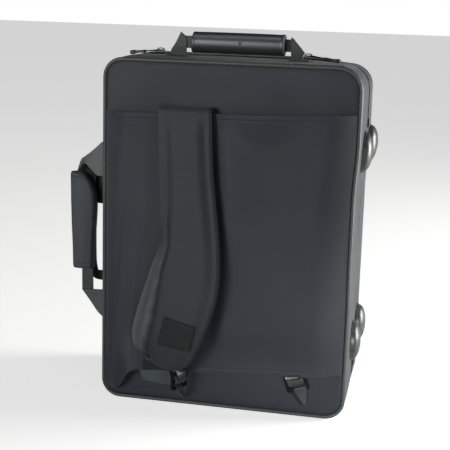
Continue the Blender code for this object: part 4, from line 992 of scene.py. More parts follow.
buckle_middle = Vector((-0.0415, -0.0698, 0.0365))
buckle_turn = math.radians(62)
buckle_across = Vector((math.cos(buckle_turn), math.sin(buckle_turn), 0.0))
buckle_out = Vector((math.sin(buckle_turn), -math.cos(buckle_turn), 0.0))
upwards = Vector((0.0, 0.0, 1.0))
tip, tip_out = strap_frame(0.56, 0.985)
tip += tip_out * 0.0006
web_half = 0.0092
stations = []
for n in range(17):
    share = n / 16
    turn = soft_step(share)
    across = Vector((1.0, 0.0, 0.0)).lerp(buckle_across, turn).normalized()
    out = tip_out.lerp(buckle_out, turn).normalized()
    out = (out - across * out.dot(across)).normalized()
    stations.append((tip.lerp(buckle_middle + upwards * 0.0105, share), across, out, web_half))
stations += [
    (buckle_middle + buckle_out * off + upwards * height, buckle_across, buckle_out, web_half)
    for off, height in (
        (-0.0010, 0.0075), (-0.0004, 0.0048), (0.0018, 0.0032), (0.0030, 0.0016), (0.0032, 0.0),
        (0.0030, -0.0016), (0.0018, -0.0032), (-0.0006, -0.0044), (-0.0026, -0.0050),
        (-0.0034, -0.0030), (-0.0036, 0.0), (-0.0038, 0.0040), (-0.0046, 0.0080),
    )
]
dress(strip("strap_end_webbing", stations, 0.0013), strap_tape, "webbing", "base", "left_strap_webbing")


def moulding(name, dark, light, rough, spread, specular=0.5):
    """Black moulded plastic."""
    others = {"Specular IOR Level": specular}
    return grained(name, 1400.0, 2.0, dark, light, rough, spread, (0.25, 0.00015), others=others)


moulded = moulding("black_moulding", (0.012, 0.013, 0.014), (0.020, 0.022, 0.024), 0.26, 0.16)
polished = moulding("polished_moulding", (0.012, 0.013, 0.014), (0.020, 0.022, 0.024), 0.17, 0.06)
matte = moulding("matte_moulding", (0.003, 0.0035, 0.004), (0.007, 0.008, 0.009), 0.26, 0.16, 0.15)


def ladder_buckle(name, node, middle, across, out, drop=0.0):
    """A ladder frame of two slots, modelled flat and set in place; drop lengthens its lower slot."""
    columns = (-0.01225, -0.00965, 0.00965, 0.01225)
    lines = (-0.0100 - drop, -0.0063 - drop, -0.0017, 0.0017, 0.0063, 0.0100)
    piece = sheet_grid(name, 3, 5, lambda a, b: Vector((columns[round(a * 3)], lines[round(b * 5)], 0.0)))
    bpy.ops.object.mode_set(mode="EDIT")
    bpy.ops.mesh.select_mode(type="FACE")
    bpy.ops.mesh.select_all(action="DESELECT")
    bpy.ops.object.mode_set(mode="OBJECT")
    for face in piece.data.polygons:
        face.select = abs(face.center.x) < 0.001 and 0.002 < abs(face.center.y) < 0.007
    bpy.ops.object.mode_set(mode="EDIT")
    bpy.ops.mesh.delete(type="FACE")
    bpy.ops.mesh.select_all(action="SELECT")
    bpy.ops.mesh.extrude_region_move(TRANSFORM_OT_translate={"value": (0.0, 0.0, 0.0030)})
    bpy.ops.mesh.normals_make_consistent(inside=False)
    bpy.ops.mesh.select_all(action="DESELECT")
    bpy.ops.object.mode_set(mode="OBJECT")
    shaped(piece, "BEVEL", width=0.0006, segments=3, limit_method="ANGLE")
    up = across.cross(out)
    up = -up if up.z < 0 else up
    turn = Matrix((across, up, out)).transposed().to_4x4()
    piece.matrix_world = Matrix.Translation(middle - out * 0.0015) @ turn
    dress(settle(piece, 40), matte, "plastic", "base", node)


def buckle_lip(name, node, corners, rise):
    """The thumb lip over a ladder buckle's top bar: a slightly crowned plate leaning back."""
    high_left, high_right, low_right, low_left = (Vector(corner) for corner in corners)
    out = Vector((-0.10, -0.94, 0.30)).normalized()
    rings, swell = [], 0.05 * (high_left - low_left).length
    for n in range(13):
        share = n / 12
        low, high = low_left.lerp(low_right, share), high_left.lerp(high_right, share)
        full = 1.0 if 0 < n < 12 else 0.45
        crown = rise * math.sin(math.pi * share)
        front, back = [], []
        for step in range(9):
            point = low.lerp(high, step / 8)
            roll = full * math.sin(math.pi * step / 8) ** 0.6
            front.append(point + out * (crown + swell * roll + 0.0004))
            back.append(point - out * (0.0010 * roll + 0.0003))
        rings.append(front + back[::-1])
    dress(loft(name, rings, smooth=50), polished, "plastic", "base", node)


right_middle = Vector((0.0851, -0.0509, 0.0425))
lean = math.radians(19)
right_across = Vector((math.cos(lean), 0.0, math.sin(lean)))
right_up = Vector((-math.sin(lean), 0.0, math.cos(lean)))
along_x, flat_out = Vector((1.0, 0.0, 0.0)), Vector((0.0, -1.0, 0.0))
ladder_buckle("left_ladder_buckle", "left_buckle", buckle_middle, buckle_across, buckle_out)
ladder_buckle("right_ladder_buckle", "right_buckle", right_middle, right_across, flat_out, drop=0.0024)
buckle_lip("left_buckle_lip", "left_buckle", (
    (-0.0486, -0.0726, 0.0492), (-0.0318, -0.0719, 0.0498), (-0.0356, -0.0751, 0.0398),
    (-0.0400, -0.0756, 0.0386),
), 0.0003)
buckle_lip("right_buckle_lip", "right_buckle", (
    (0.0750, -0.0601, 0.0486), (0.0914, -0.0600, 0.0517), (0.0911, -0.0613, 0.0473),
    (0.0766, -0.0616, 0.0440),
), 0.0001)
stations = [
    (right_middle + flat_out * off + right_up * height, right_across, flat_out, web_half)
    for off, height in (
        (0.0052, 0.0330), (0.0050, 0.0260), (0.0044, 0.0180), (0.0022, 0.0110), (0.0010, 0.0070),
        (0.0006, 0.0046), (0.0022, 0.0032), (0.0032, 0.0016), (0.0034, 0.0), (0.0032, -0.0016),
        (0.0020, -0.0032), (0.0004, -0.0046),
    )
]
dress(strip("stowed_strap_webbing", stations, 0.0013), strap_tape, "webbing", "base", "right_strap_webbing")

# The tabs are folded to a point and run round each buckle's lower bar
tab_rows = (
    (-0.0052, 0.0094, -0.0016, 0.0), (-0.0060, 0.0095, 0.0006, 0.0), (-0.0078, 0.0095, 0.0020, 0.0),
    (-0.0098, 0.0093, 0.0012, 0.02), (-0.0125, 0.0084, 0.0004, 0.12), (-0.0160, 0.0070, 0.0, 0.32),
    (-0.0200, 0.0053, 0.0, 0.58), (-0.0235, 0.0038, 0.0, 0.80), (-0.0262, 0.0026, 0.0, 0.97),
    (-0.0268, 0.0016, 0.0, 1.0),
)
left_ways = (Vector((0.087, 0.996, 0.0)), Vector((0.996, -0.087, 0.0)), upwards)
right_ways = (right_across, flat_out, right_up)
lowered = right_middle - right_up * 0.0026
for name, node, middle, ways, skew, narrow, tape in (
    ("left_strap_tab", "left_tab", buckle_middle, left_ways, 0.0179, 1.0, handle_tape),
    ("right_strap_tab", "right_tab", lowered + right_across * 0.0026, right_ways, 0.0, 0.76, strap_tape),
    # A black strip under the right tab, showing along its left edge as painted shade
    (
        "right_strap_tab_painted_shade", "right_tab", lowered - right_across * 0.0012 - flat_out * 0.0012,
        right_ways, 0.0, 1.0, patch_tape,
    ),
):
    across, out, up = ways
    stations = [
        (middle + up * height + out * off + across * skew * shift, across, out, half * narrow)
        for height, half, off, shift in tab_rows
    ]
    dress(strip(name, stations, 0.0017), tape, "webbing", "base", node)


# Top handle
# A webbing loop with folded corners, sewn to two patches on top, runs through a moulded grip that
# is closed by a snap. The grip has a raised ring near each end and a parting line along its sides.
rings = []
grip_stations = (
    (-0.0500, 0.90), (-0.0497, 0.955), (-0.0488, 0.985), (-0.0476, 0.985), (-0.0470, 0.968),
    (-0.0460, 0.968), (-0.0400, 0.975), (-0.0250, 0.985), (-0.0080, 0.99), (0.0080, 0.99),
    (0.0250, 0.985), (0.0400, 0.975), (0.0466, 0.962), (0.0474, 0.958), (0.0481, 0.975), (0.0488, 1.0),
    (0.0502, 1.0), (0.0509, 0.975), (0.0511, 0.92),
)
for x, share in grip_stations:
    ring = []
    for n in range(48):
        angle = 2 * math.pi * (n + 0.5) / 48
        flat = 1.0 - 0.02 * near_step(abs(math.sin(angle)), 0.0, 0.05)
        y = 0.0130 * share * flat * math.copysign(abs(math.cos(angle)) ** 0.92, math.cos(angle))
        z = 0.0116 * share * math.copysign(abs(math.sin(angle)) ** 0.92, math.sin(angle))
        flare = -0.0012 * soft_step((-0.045 - x) / 0.005) * soft_step(-z / 0.01)
        ring.append(Vector((x + flare, y, 0.4015 + z)))
    rings.append(ring)
satin = moulding("satin_moulding", (0.024, 0.027, 0.030), (0.038, 0.043, 0.047), 0.36, 0.08, 1.0)
dress(loft("carry_grip", rings, smooth=35), satin, "plastic", "top_handle", "handle_grip")

bpy.ops.mesh.primitive_cylinder_add(
    vertices=32, radius=0.0017, depth=0.0010, location=(0.0035, -0.0132, 0.4022),
    rotation=(math.radians(90), 0.0, 0.0),
)
rivet = bpy.context.object
rivet.name = "grip_snap"
for face in rivet.data.polygons:
    face.select = face.normal.z > 0.9
bpy.ops.object.mode_set(mode="EDIT")
bpy.ops.mesh.select_mode(type="FACE")
bpy.ops.mesh.inset(thickness=0.0006)
bpy.ops.mesh.extrude_region_move(TRANSFORM_OT_translate={"value": (0.0, 0.0003, 0.0)})
bpy.ops.object.mode_set(mode="OBJECT")
shaped(rivet, "BEVEL", width=0.0003, segments=2, limit_method="ANGLE")
dress(settle(rivet, 40), moulded, "metal", "top_handle", "handle_snap")
for label, side, outer_line, inner_line in (
    ("left", -1, [(0.3868, 0.0752), (0.3917, 0.0757), (0.4000, 0.0706), (0.4118, 0.0650)],
        [(0.3868, 0.0580), (0.4060, 0.0580), (0.4118, 0.0640)]),
    ("right", 1, [(0.3868, 0.0712), (0.3922, 0.0716), (0.3940, 0.0733), (0.4100, 0.0592)],
        [(0.3868, 0.0580), (0.4060, 0.0574), (0.4100, 0.0574)]),
):
    stations = []
    for n in range(25):
        z = 0.38685 + (outer_line[-1][0] - 0.38685) * n / 24
        far, near = curve_read(outer_line, z), curve_read(inner_line, z)
        curl = 0.0012 * math.sin(math.pi * n / 24)
        stations.append((
            Vector((side * (far + near) / 2, -0.0004 - curl, z)), along_x, flat_out, (far - near) / 2,
        ))
    piece = strip("handle_leg_" + label, stations, 0.0020)
    dress(piece, handle_tape, "webbing", "top_handle", "handle_webbing")
    rings = []
    for n in range(13):
        x = side * (0.0568 + 0.0224 * n / 12)
        low = 0.0004 if n in (0, 12) else 0.0
        wave = soft_wave(x, 0.0, 2.0, 0.008, 0.0003)
        ring = [
            Vector((x, y, 0.3853 + (0.0015 - low + wave) * rise))
            for y, rise in (
                (-0.0130, 0.5), (-0.0122, 1.0), (-0.006, 1.1), (0.0, 1.0), (0.006, 1.1), (0.0122, 1.0),
                (0.0130, 0.5),
            )
        ]
        ring += [Vector((x, y, 0.3852)) for y in (0.0130, 0.0, -0.0130)]
        rings.append(ring)
    piece = loft("handle_patch_" + label + "_sewn", rings)
    dress(piece, handle_tape, "webbing", "base", "handle_patch_" + label)
    low_x, high_x = sorted((side * 0.0586, side * 0.0774))
    corners = [(low_x, -0.0112), (high_x, -0.0112), (high_x, 0.0112), (low_x, 0.0112), (low_x, -0.0112)]
    path = [Vector((x, y, 0.38695)) for x, y in corners]
    stitches("handle_patch_%s_stitches" % label, path, [Vector((0, 0, 1))] * 5, "base", "webbing")
stations = [
    (Vector((-0.0625 + 0.124 * n / 24, 0.0, 0.4014)), Vector((0.0, 0.0, 1.0)), flat_out, 0.0067)
    for n in range(25)
]
band = strip("handle_band", stations, 0.0019)
dress(band, handle_tape, "webbing", "top_handle", "handle_webbing")


# Side handle
# One webbing loop is sewn into each half beside the zip. A padded nylon wrap folds round both and
# opens towards the lid, its ends and its edges bound and stitched.
# A lighter copy of the charcoal nylon, painted light for the wrap's face that turns to the lamp
wrap_nylon_painted_light = cloth("wrap_nylon_painted_light", (0.034, 0.043, 0.050), (0.067, 0.081, 0.093), 0.62, 0.0009, mottle=0.35)


def wrap_line(z):
    """Points down the wrap's near side, round both corners and up its outer side, with the way out."""
    line = []
    shoulder = min(max((z - 0.2040) / 0.0392, 0.0), 1.0)
    high_x = -0.2010 + 0.0228 * math.sqrt(1 - shoulder ** 2) - 0.0026 * soft_step((0.20 - z) / 0.06)
    low_x = -0.2050 + 0.0028 * soft_step((0.2421 - z) / 0.1172)
    floor_y, corner = 0.03585, 0.0030
    points = [(high_x, y) for y in (0.0470, 0.0455, 0.0440, 0.0425)]
    line += [(p, (1.0, 0.0)) for p in points]
    for centre_x, start in ((high_x - corner, 0), (low_x + corner, -90)):
        for step in range(7):
            angle = math.radians(start - 90 * step / 6)
            way = (math.cos(angle), math.sin(angle))
            line.append(((centre_x + corner * way[0], floor_y + corner + corner * way[1]), way))
        if start == 0:
            for step in range(1, 10):
                x = high_x - corner + (low_x - high_x + 2 * corner) * step / 10
                line.append(((x, floor_y - 0.0012 * math.sin(math.pi * step / 10)), (0.0, -1.0)))
    points = [(low_x, y) for y in (0.0460, 0.0500, 0.0540, 0.0580, 0.0612, 0.0637)]
    line += [(p, (-1.0, 0.0)) for p in points]
    return line


rings = []
wrap_low, wrap_high = 0.12494, 0.24214
for n in range(91):
    share = n / 90
    share = soft_step(share) * 0.5 + share * 0.5
    z = wrap_low + (wrap_high - wrap_low) * share
    end = min(z - wrap_low, wrap_high - z)
    wrap_route = wrap_line(z)
    outer, inner = [], []
    for index, ((x, y), (out_x, out_y)) in enumerate(wrap_route):
        edge = min(index, len(wrap_route) - 1 - index)
        half = 0.0017 if edge > 0 and end > 0.0008 else 0.0013
        puff = 0.0006 * soft_step(end / 0.006) - 0.0004 * near_step(end, 0.0062, 0.0008)
        puff += soft_wave(x, y * 0.3, z, 0.034, 0.0005) * soft_step(end / 0.01)
        lower = 0.14 * max(y - 0.042, 0.0) * soft_step((z - 0.20) / 0.04)
        outer.append(Vector((x + out_x * (half + puff), y + out_y * (half + puff), z - lower)))
        inner.append(Vector((x - out_x * half, y - out_y * half, z - lower)))
    rings.append(outer + inner[::-1])
wrap = loft("handle_wrap", rings)
dress(wrap, wrap_nylon_painted_light, "nylon", "base", "side_wrap")


def wrap_stitch(name, z, drop):
    path, outs = [], []
    for (x, y), (out_x, out_y) in wrap_line(z)[4:-1]:
        path.append(Vector((x + out_x * 0.0020, y + out_y * 0.0020, z - 0.14 * max(y - 0.042, 0.0) * drop)))
        outs.append(Vector((out_x, out_y, 0.0)))
    stitches(name, path, outs, "base", "nylon")


wrap_stitch("handle_wrap_hem_low", wrap_low + 0.0062, 0.0)
wrap_stitch("handle_wrap_hem_high", wrap_high - 0.0062, 1.0)


def loop_leg(name, body, node, rows, material):
    """Webbing along rows of (x, z and y of its top edge, z and y of its bottom edge)."""
    stations = []
    first, last = rows[0][0], rows[-1][0]
    for n in range(37):
        x = first + (last - first) * n / 36
        high_z, high_y, low_z, low_y = (
            curve_read([(-row[0], row[value]) for row in rows], -x) for value in range(1, 5)
        )
        high, low = Vector((x, high_y, high_z)), Vector((x, low_y, low_z))
        across = (high - low).normalized()
        out = Vector((0.0, -1.0, 0.0))
        out = (out - across * out.dot(across)).normalized()
        stations.append(((high + low) / 2, across, out, (high - low).length / 2))
    dress(strip(name, stations, 0.0018), material, "webbing", body, node)


def loop_band(name, body, node, rows, material):
    """Webbing along rows of (z, x of its left edge, x of its right edge, y)."""
    stations = []
    for n in range(41):
        z = rows[0][0] + (rows[-1][0] - rows[0][0]) * n / 40
        left, right, y = (curve_read([(row[0], row[value]) for row in rows], z) for value in range(1, 4))
        stations.append((Vector(((left + right) / 2, y, z)), along_x, flat_out, (right - left) / 2))
    dress(strip(name, stations, 0.0018), material, "webbing", body, node)


loop_leg("side_loop_base_upper", "base", "side_loop_base", (
    (-0.1383, 0.2789, 0.0400, 0.2430, 0.0400), (-0.1600, 0.2800, 0.0390, 0.2405, 0.0360),
    (-0.1680, 0.2795, 0.0385, 0.2390, 0.0345), (-0.1735, 0.2745, 0.0385, 0.2400, 0.0345),
    (-0.1812, 0.2676, 0.0385, 0.2472, 0.0350), (-0.1899, 0.2608, 0.0390, 0.2532, 0.0370),
    (-0.1945, 0.2570, 0.0400, 0.2480, 0.0385), (-0.1990, 0.2440, 0.0400, 0.2405, 0.0395),
), webbing_tape)
loop_leg("side_loop_base_lower", "base", "side_loop_base", (
    (-0.1383, 0.0990, 0.0410, 0.0630, 0.0400), (-0.1600, 0.0992, 0.0400, 0.0632, 0.0400),
    (-0.1667, 0.0994, 0.0390, 0.0648, 0.0400), (-0.1731, 0.0992, 0.0385, 0.0698, 0.0405),
    (-0.1830, 0.0990, 0.0385, 0.0834, 0.0405), (-0.1926, 0.0985, 0.0390, 0.0965, 0.0400),
), webbing_tape)
loop_band("side_loop_base_band", "base", "side_loop_base", (
    (0.0968, -0.1938, -0.1793, 0.0412), (0.1274, -0.1938, -0.1793, 0.0408),
    (0.1500, -0.1938, -0.1793, 0.0420),
), handle_tape)
# Black webbing as painted shade where the loop runs up into the arch under the wrap's top
loop_band("side_loop_base_fold", "base", "side_loop_base", (
    (0.2000, -0.1950, -0.1790, 0.0490), (0.2380, -0.2010, -0.1780, 0.0490),
    (0.2440, -0.2014, -0.1760, 0.0490), (0.2490, -0.1998, -0.1740, 0.0490),
    (0.2540, -0.1970, -0.1740, 0.0500), (0.2600, -0.1895, -0.1735, 0.0510),
), patch_tape)
# The lid's loop is the same webbing as the base's, drawn in the darker handle webbing as painted shade
# behind the near loop and the wrap
loop_leg("side_loop_lid_upper", "lid", "side_loop_lid", (
    (-0.1383, 0.2420, 0.0580, 0.2010, 0.0580), (-0.1600, 0.2460, 0.0580, 0.2012, 0.0575),
    (-0.1720, 0.2480, 0.0580, 0.2016, 0.0575), (-0.1830, 0.2460, 0.0580, 0.2030, 0.0580),
    (-0.1940, 0.2380, 0.0580, 0.2140, 0.0580),
), handle_tape)
loop_leg("side_loop_lid_lower", "lid", "side_loop_lid", (
    (-0.1383, 0.1190, 0.0580, 0.1060, 0.0580), (-0.1640, 0.1185, 0.0580, 0.1060, 0.0580),
    (-0.1800, 0.1182, 0.0580, 0.1062, 0.0580), (-0.1870, 0.1182, 0.0580, 0.1100, 0.0580),
    (-0.1925, 0.1182, 0.0580, 0.1160, 0.0580),
), handle_tape)
loop_band("side_loop_lid_band", "lid", "side_loop_lid", (
    (0.1130, -0.1905, -0.1780, 0.0584), (0.1320, -0.1935, -0.1810, 0.0582),
    (0.2150, -0.1935, -0.1810, 0.0584),
), handle_tape)


# Zip
# A coil zip runs round three sides between two woven tapes, one sewn into each half. Cloth tabs
# cover its two ends, and between them the halves are joined by a cloth hinge.
tape_cloth = cloth(
    "zip_tape", (0.003, 0.004, 0.005), (0.008, 0.010, 0.012), 0.85, 0.0008, depth=0.0002, sheen=0.0,
)
tape_cloth.node_tree.nodes["Principled BSDF"].inputs["Specular IOR Level"].default_value = 0.12
coil = grained(
    "nylon_coil", 350.0, 2.0, (0.008, 0.009, 0.010), (0.022, 0.024, 0.026), 0.5,
    others={"Specular IOR Level": 0.2},
)


def zip_route():
    """The zip's line of (x, z), from its upper end on the hinge side round to its lower end."""
    line = case_line(0.0, corner=10, side=16)
    start = next(n for n, (x, z) in enumerate(line) if x > 0.137 and z > 0.318)
    turned = line[start:] + line[:start]
    kept = [(x, z) for x, z in turned if not (x > 0.1379 and 0.038 < z < 0.318)]
    return [(half_width, 0.318)] + kept + [(half_width, 0.038)]


def along_route(route, distance):
    """The place this far along a route, and the way that the route takes there."""
    for start, end in zip(route, route[1:]):
        span = (end - start).length
        if distance <= span:
            return start.lerp(end, distance / span), (end - start) / span
        distance -= span
    return route[-1], (end - start) / span


def add_tooth(shape, root, run, side, out, rows):
    """A tooth of a zip, from its root over the middle of the zip to the other side."""
    add_solid(shape, [
        [
            root + side * reach + run * a * half + out * b
            for a, b in ((-1, low), (-1, high - 0.0002), (0, high), (1, high - 0.0002), (1, low))
        ]
        for reach, low, high, half in rows
    ])


tape = [
    (0.0018, 0.00015), (0.0006, 0.00015), (0.0004, 0.0006), (0.0006, 0.0012), (0.0009, 0.0016),
    (0.0009, 0.0058), (0.0012, 0.0061), (0.0018, 0.0061),
]
tooth_rows = (
    (-0.0007, -0.0007, 0.0000, 0.00036), (0.0002, -0.0008, 0.0004, 0.00040),
    (0.0013, -0.0007, 0.0003, 0.00036), (0.0019, -0.0006, -0.0001, 0.00026),
)
tooth_pitch = 0.0018
teeth_route = [Vector((x, zip_y, z)) for x, z in zip_route()]
teeth_count = int(sum((b - a).length for a, b in zip(teeth_route, teeth_route[1:])) / tooth_pitch) - 3
zip_halves = (("base", "base_zip", -1, 2.0), ("lid", "lid_zip", 1, 2.5))
for body, node, way, _ in zip_halves:
    profile = [(inset, zip_y + way * y) for inset, y in tape]
    piece = sweep(body + "_zip_tape", zip_route(), False, profile)
    dress(slump(piece), tape_cloth, "zip_tape", body, node)
for body, node, way, first in zip_halves:
    side = Vector((0.0, way, 0.0))
    shape = bmesh.new()
    for number in range(teeth_count):
        root, run = along_route(teeth_route, (number + first) * tooth_pitch)
        out = Vector((run.z, 0.0, -run.x))
        if out.dot(root - Vector((0.0, zip_y, body_height / 2))) < 0:
            out = -out
        add_tooth(shape, root, run, side, out, tooth_rows)
    dress(slump(finish_solids(body + "_zip_teeth", shape)), coil, "zip_tape", body, node)

hinge_rings = []
for n in range(57):
    z = 0.0383 + 0.2794 * n / 56
    ring = []
    for y in (0.0430, 0.0445, 0.0462, 0.0478, 0.0490, 0.0502, 0.0518, 0.0535, 0.0550):
        bulge = 0.0004 * near_step(y, 0.049, 0.0030) + soft_wave(0.0, y, z, 0.02, 0.0002)
        ring.append(Vector((0.1376 + bulge, y, z)))
    inner = [Vector((0.1364, y, z)) for y in (0.0550, 0.0520, 0.0490, 0.0460, 0.0430)]
    hinge_rings.append(ring + inner)
hinge = slump(loft("hinge_cloth", hinge_rings))
hinge.data.materials.append(nylon)
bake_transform(hinge)
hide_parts("base_hinge_tape", "lid_hinge_tape")

for label, middle_z in (("upper", 0.318), ("lower", 0.038)):
    rings = []
    for n in range(13):
        y = 0.0433 + 0.0114 * n / 12
        thick = 0.0019 - 0.0006 * near_step(y, 0.049, 0.0016)
        if n in (0, 12):
            thick -= 0.0005
        ring = []
        for z, share in (
            (-0.0050, 0.35), (-0.0046, 0.9), (-0.003, 1.0), (0.0, 1.05), (0.003, 1.0), (0.0046, 0.9),
            (0.0050, 0.35),
        ):
            ring.append(Vector((0.1382 + thick * share, y, middle_z + z)))
        ring += [Vector((0.1380, y, middle_z + z)) for z in (0.0050, 0.0, -0.0050)]
        rings.append(ring)
    tab = slump(loft("zip_end_" + label, rings))
    tab.data.materials.append(strap_nylon)
    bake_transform(tab)
    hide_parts("zip_stop_%s_base" % label, "zip_stop_%s_lid" % label)


# Feet
# Four domed rubber feet on the hinge side, each moulded with a thin flange and held by a screw from
# inside the wall.
rubber = grained(
    "foot_rubber", 160.0, 5.0, (0.040, 0.043, 0.043), (0.070, 0.075, 0.075), 0.24, 0.25, (0.2, 0.0003),
    span=(0.35, 0.65),
)

for body, foot_y in (("base", 0.0), ("lid", 0.072)):
    for label, foot_z in (("upper", 0.291), ("lower", 0.077)):
        profile = [(1.0, 0.0), (1.0, 0.0009), (0.992, 0.0013), (0.97, 0.0014), (0.955, 0.0013)]
        profile += [(0.945, 0.0017), (0.925, 0.0030)]
        for step in range(1, 17):
            angle = math.radians(10 + 80 * step / 16)
            profile.append((0.935 * math.cos(angle) ** 0.92, 0.0018 + 0.0087 * math.sin(angle)))
        rings = []
        for share, height in profile:
            share = max(share, 0.012)
            rings.append([
                Vector((
                    0.1383 + height, foot_y + 0.018 * share * math.cos(2 * math.pi * n / 56),
                    foot_z + 0.023 * share * math.sin(2 * math.pi * n / 56),
                )) for n in range(56)
            ])
        foot = slump(loft("foot_%s_%s_dome" % (body, label), rings, smooth=40))
        dress(foot, rubber, "foot_rubber", body, "foot_%s_%s" % (body, label))

blacked = grained(
    "blacked_metal", 500.0, 4.0, (0.010, 0.011, 0.012), (0.030, 0.032, 0.034), 0.36, 0.2,
    others={"Metallic": 0.85},
)


def finish_node(node, material):
    """A carried-over piece keeps its mesh and takes a finish."""
    for place in bpy.data.objects[node].material_slots:
        place.material = material


for body in ("base", "lid"):
    for label in ("upper", "lower"):
        finish_node("foot_screw_%s_%s" % (body, label), blacked)


# Zip sliders
# Two sliders on the main zip and one on the pocket, die cast and blacked, with flat pull tabs.
def slider_body(label, node, body, middle, way, out):
    """Two shield-shaped plates, one over the other, with a low bridge that holds the pull."""
    across = out.cross(way)
    for name, low, high in (("top", 0.0002, 0.0013), ("bottom", -0.0030, -0.0019)):
        rings = []
        for reach, half in (
            (-0.0050, 0.0022), (-0.0046, 0.0030), (-0.0030, 0.0034), (0.0, 0.0038), (0.0024, 0.0044),
            (0.0040, 0.0045), (0.0048, 0.0040), (0.0052, 0.0028),
        ):
            thin = 0.0003 if abs(reach) > 0.0048 else 0.0
            rings.append([
                middle + way * reach + across * a * half + out * (b + (thin if b == low else -thin))
                for a, b in ((-1, low), (-0.9, high), (0.9, high), (1, low))
            ])
        dress(loft("%s_slider_%s" % (label, name), rings, smooth=40), blacked, "metal", body, node)
    rings = []
    for reach, rise in (
        (-0.0040, 0.0006), (-0.0038, 0.0018), (-0.0030, 0.0026), (-0.0015, 0.0030), (0.0015, 0.0030),
        (0.0030, 0.0026), (0.0038, 0.0018), (0.0040, 0.0006),
    ):
        lift = middle + way * reach + out * rise
        inwards = (way * -reach * 90 + out * -1).normalized() * 0.0005
        rings.append([
            lift + across * a * 0.0011 + inwards * b
            for a, b in ((-1, -1), (1, -1), (1, 1), (-1, 1))
        ])
    dress(loft(label + "_slider_bridge", rings, smooth=50), blacked, "metal", body, node)


def pull_tab(label, node, body, pivot, way, out):
    """A blacked link through the slider's bridge with a moulded grip over its end, tip along way."""
    across = out.cross(way)

    def ring_at(reach, half, thick, lift=0.0):
        corners = ((1, 0.55), (0.72, 1), (0, 1.06), (-0.72, 1), (-1, 0.55))
        ring = [(a * half, b * thick + lift) for a, b in corners]
        ring += [(a * half, -b * thick + lift) for a, b in reversed(corners)]
        return [pivot + way * reach + across * a + out * b for a, b in ring]

    grip = []
    for reach, half, thick in (
        (0.0150, 0.0022, 0.0008), (0.0156, 0.0036, 0.0013), (0.0170, 0.0040, 0.0016),
        (0.0190, 0.0038, 0.0014), (0.0196, 0.0036, 0.0012), (0.0202, 0.0038, 0.0015),
        (0.0222, 0.0038, 0.0014), (0.0228, 0.0036, 0.0012), (0.0234, 0.0038, 0.0015),
        (0.0256, 0.0039, 0.0015), (0.0262, 0.0037, 0.0013), (0.0272, 0.0040, 0.0018),
        (0.0300, 0.0044, 0.0023), (0.0322, 0.0043, 0.0023), (0.0334, 0.0036, 0.0018),
        (0.0339, 0.0020, 0.0009),
    ):
        grip.append(ring_at(reach, half, thick))
    dress(loft(label + "_pull_grip", grip, smooth=50), moulded, "plastic", body, node)
    octagon = ((1, 0.5), (0.5, 1), (-0.5, 1), (-1, 0.5), (-1, -0.5), (-0.5, -1), (0.5, -1), (1, -0.5))
    link = ((-0.0007, 0.0030), (0.0010, 0.0030), (0.0080, 0.0030), (0.0100, 0.0020), (0.0152, 0.0012))
    bars = [
        (name, [(pivot + way * reach + across * start * spread, across * 0.0008) for reach, spread in link])
        for name, start in (("link_near", 1), ("link_far", -1))
    ]
    pin = [(pivot + across * (-0.0036 + 0.0072 * n / 8), way * 0.0007) for n in range(9)]
    for name, places in bars + [("pin", pin)]:
        bar = [[middle + wide * a + out * b * 0.0007 for a, b in octagon] for middle, wide in places]
        dress(loft("%s_pull_%s" % (label, name), bar, smooth=50), blacked, "metal", body, node)


for label, side, tip in (("left", -1, 7.0), ("right", 1, 8.5)):
    place = Vector((-0.104 if side < 0 else 0.073, zip_y, 0.38935))
    lean = math.radians(tip)
    way = Vector((side * math.cos(lean), 0.0, -math.sin(lean)))
    out = Vector((side * math.sin(lean), 0.0, math.cos(lean)))
    slider_body(
        label, "zip_slider_" + label, label + "_slider", place - Vector((side * 0.0030, 0.0, 0.0016)),
        Vector((side, 0.0, 0.0)), Vector((0.0, 0.0, 1.0)),
    )
    pull_tab(label, "zip_puller_" + label, label + "_puller", place - out * 0.0008, way, out)
pocket_out, pocket_way = Vector((0.0, 1.0, 0.0)), Vector((1.0, 0.0, 0.0))
pocket_pin = Vector((-0.078, 0.10895, 0.300))
slider_body(
    "pocket", "pocket_slider", "pocket_slider", pocket_pin - pocket_way * 0.0030 - pocket_out * 0.0016,
    pocket_way, pocket_out,
)
pull_tab("pocket", "pocket_puller", "pocket_puller", pocket_pin, pocket_way, pocket_out)


# Music pocket
# A raised nylon panel sewn on the lid all round, with a coil zip across it near the top.
def pocket_place(across, along):
    half = 0.112
    x, z = half * (2 * across - 1), 0.040 + 0.295 * along
    edge = min(half - abs(x), z - 0.040, 0.335 - z)
    rise = 0.0003 + 0.0062 * soft_step(edge / 0.0145)
    rise += soft_wave(x, 5.0, z * 0.7, 0.04, 0.0009) * soft_step(edge / 0.03)
    rise += 0.0003 * math.sin((x + z) / 0.0035) * near_step(edge, 0.006, 0.004)
    rise -= 0.0012 * near_step(z, 0.300, 0.0035) * soft_step((half - 0.012 - abs(x)) / 0.01)
    return Vector((x, front_y + rise + 0.0008, z))


pocket = sheet_grid("music_pocket", 96, 130, pocket_place)
settle(shaped(pocket, "SOLIDIFY", thickness=0.0013, offset=0.0))
dress(pocket, nylon, "nylon", "lid", "pocket_panel")
pocket_area, pocket_wide, pocket_long = sheet_area(pocket_place)
for drop in (0.0028, 0.0080):
    near_x, near_z = drop / 0.224, drop / 0.295
    corners = [(near_x, near_z), (1 - near_x, near_z), (1 - near_x, 1 - near_z), (near_x, 1 - near_z)]
    path = [
        pocket_place(*Vector(corner).lerp(Vector(other), n / 48)) + Vector((0.0, 0.0008, 0.0))
        for corner, other in zip(corners, corners[1:] + corners[:1]) for n in range(48)
    ]
    stitches("pocket_stitches_%d" % round(drop * 10000), path, [pocket_out] * len(path), "lid", "nylon")

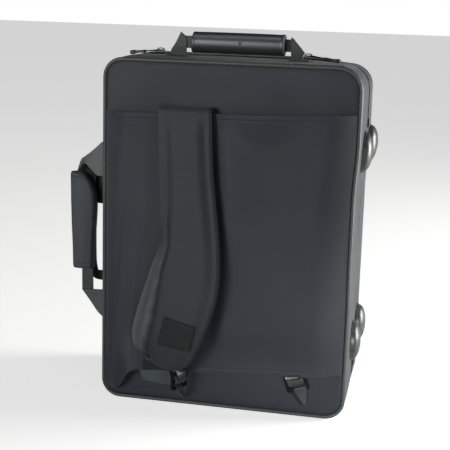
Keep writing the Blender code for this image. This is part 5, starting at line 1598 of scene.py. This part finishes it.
finish_node("pocket_zip", tape_cloth)
pocket_tooth_rows = (
    (-0.0008, -0.0004, 0.0, 0.00036), (0.0003, -0.0004, 0.0005, 0.0004), (0.0013, -0.0004, 0.0004, 0.00036),
    (0.0019, -0.0004, 0.0, 0.00026),
)
shape = bmesh.new()
for number in range(104):
    for way, start in ((-1, 0.0), (1, 0.5)):
        root = Vector((-0.0935 + (number + start) * tooth_pitch, 0.10455, 0.300))
        add_tooth(shape, root, pocket_way, upwards * way, pocket_out, pocket_tooth_rows)
dress(finish_solids("pocket_zip_teeth", shape), coil, "zip_tape", "lid")


# Inside
# Plush-covered foam: a floor pad, a block with wells for the joints, bells and mouthpieces of two
# clarinets, and a pad in the lid. The wells' rims are rolled where the plush is drawn over them.
plush, plush_tree, plush_shader = new_material("plush")
pile = noise_node(plush_tree, 1600.0, 3.0)
brushed = math_node(plush_tree, "MULTIPLY", noise_node(plush_tree, 28.0, 4.0), 0.6)
brushed = math_node(plush_tree, "MULTIPLY_ADD", pile, 0.4, brushed)
feed(plush_tree, plush_shader, {
    "Base Color": tone_node(
        plush_tree, brushed, (0.050, 0.008, 0.014), (0.130, 0.022, 0.036), (0.3, 0.7),
    ),
    "Roughness": 0.95, "Sheen Weight": 0.8, "Sheen Roughness": 0.35,
    "Sheen Tint": (0.62, 0.20, 0.26, 1.0), "Normal": bump_node(plush_tree, pile, 0.6, 0.0006),
})

# Each foam block is copied with the edges of its open face rolled
for node, name, body, face_y, roll in (
    ("floor_pad", "plush_floor", "base", -0.0227, 0.0010),
    ("well_block", "plush_wells", "base", 0.0410, 0.0030),
    ("lid_pad", "plush_lid", "lid", 0.0827, 0.0035),
):
    shape = bmesh.new()
    shape.from_mesh(bpy.data.objects[node].data)
    bmesh.ops.remove_doubles(shape, verts=shape.verts, dist=0.00002)
    bmesh.ops.dissolve_limit(
        shape, angle_limit=math.radians(2), verts=shape.verts, edges=shape.edges,
    )
    rims = [
        edge for edge in shape.edges
        if all(abs(vert.co.y - face_y) < 0.0003 for vert in edge.verts)
        and any(abs(face.normal.y) < 0.3 for face in edge.link_faces)
    ]
    bmesh.ops.bevel(
        shape, geom=rims, offset=roll, offset_type="OFFSET", segments=5, profile=0.5, affect="EDGES",
        clamp_overlap=True,
    )
    piece = settle(new_piece(name, shape), 50)
    dress(piece, plush, "plush", body, node)
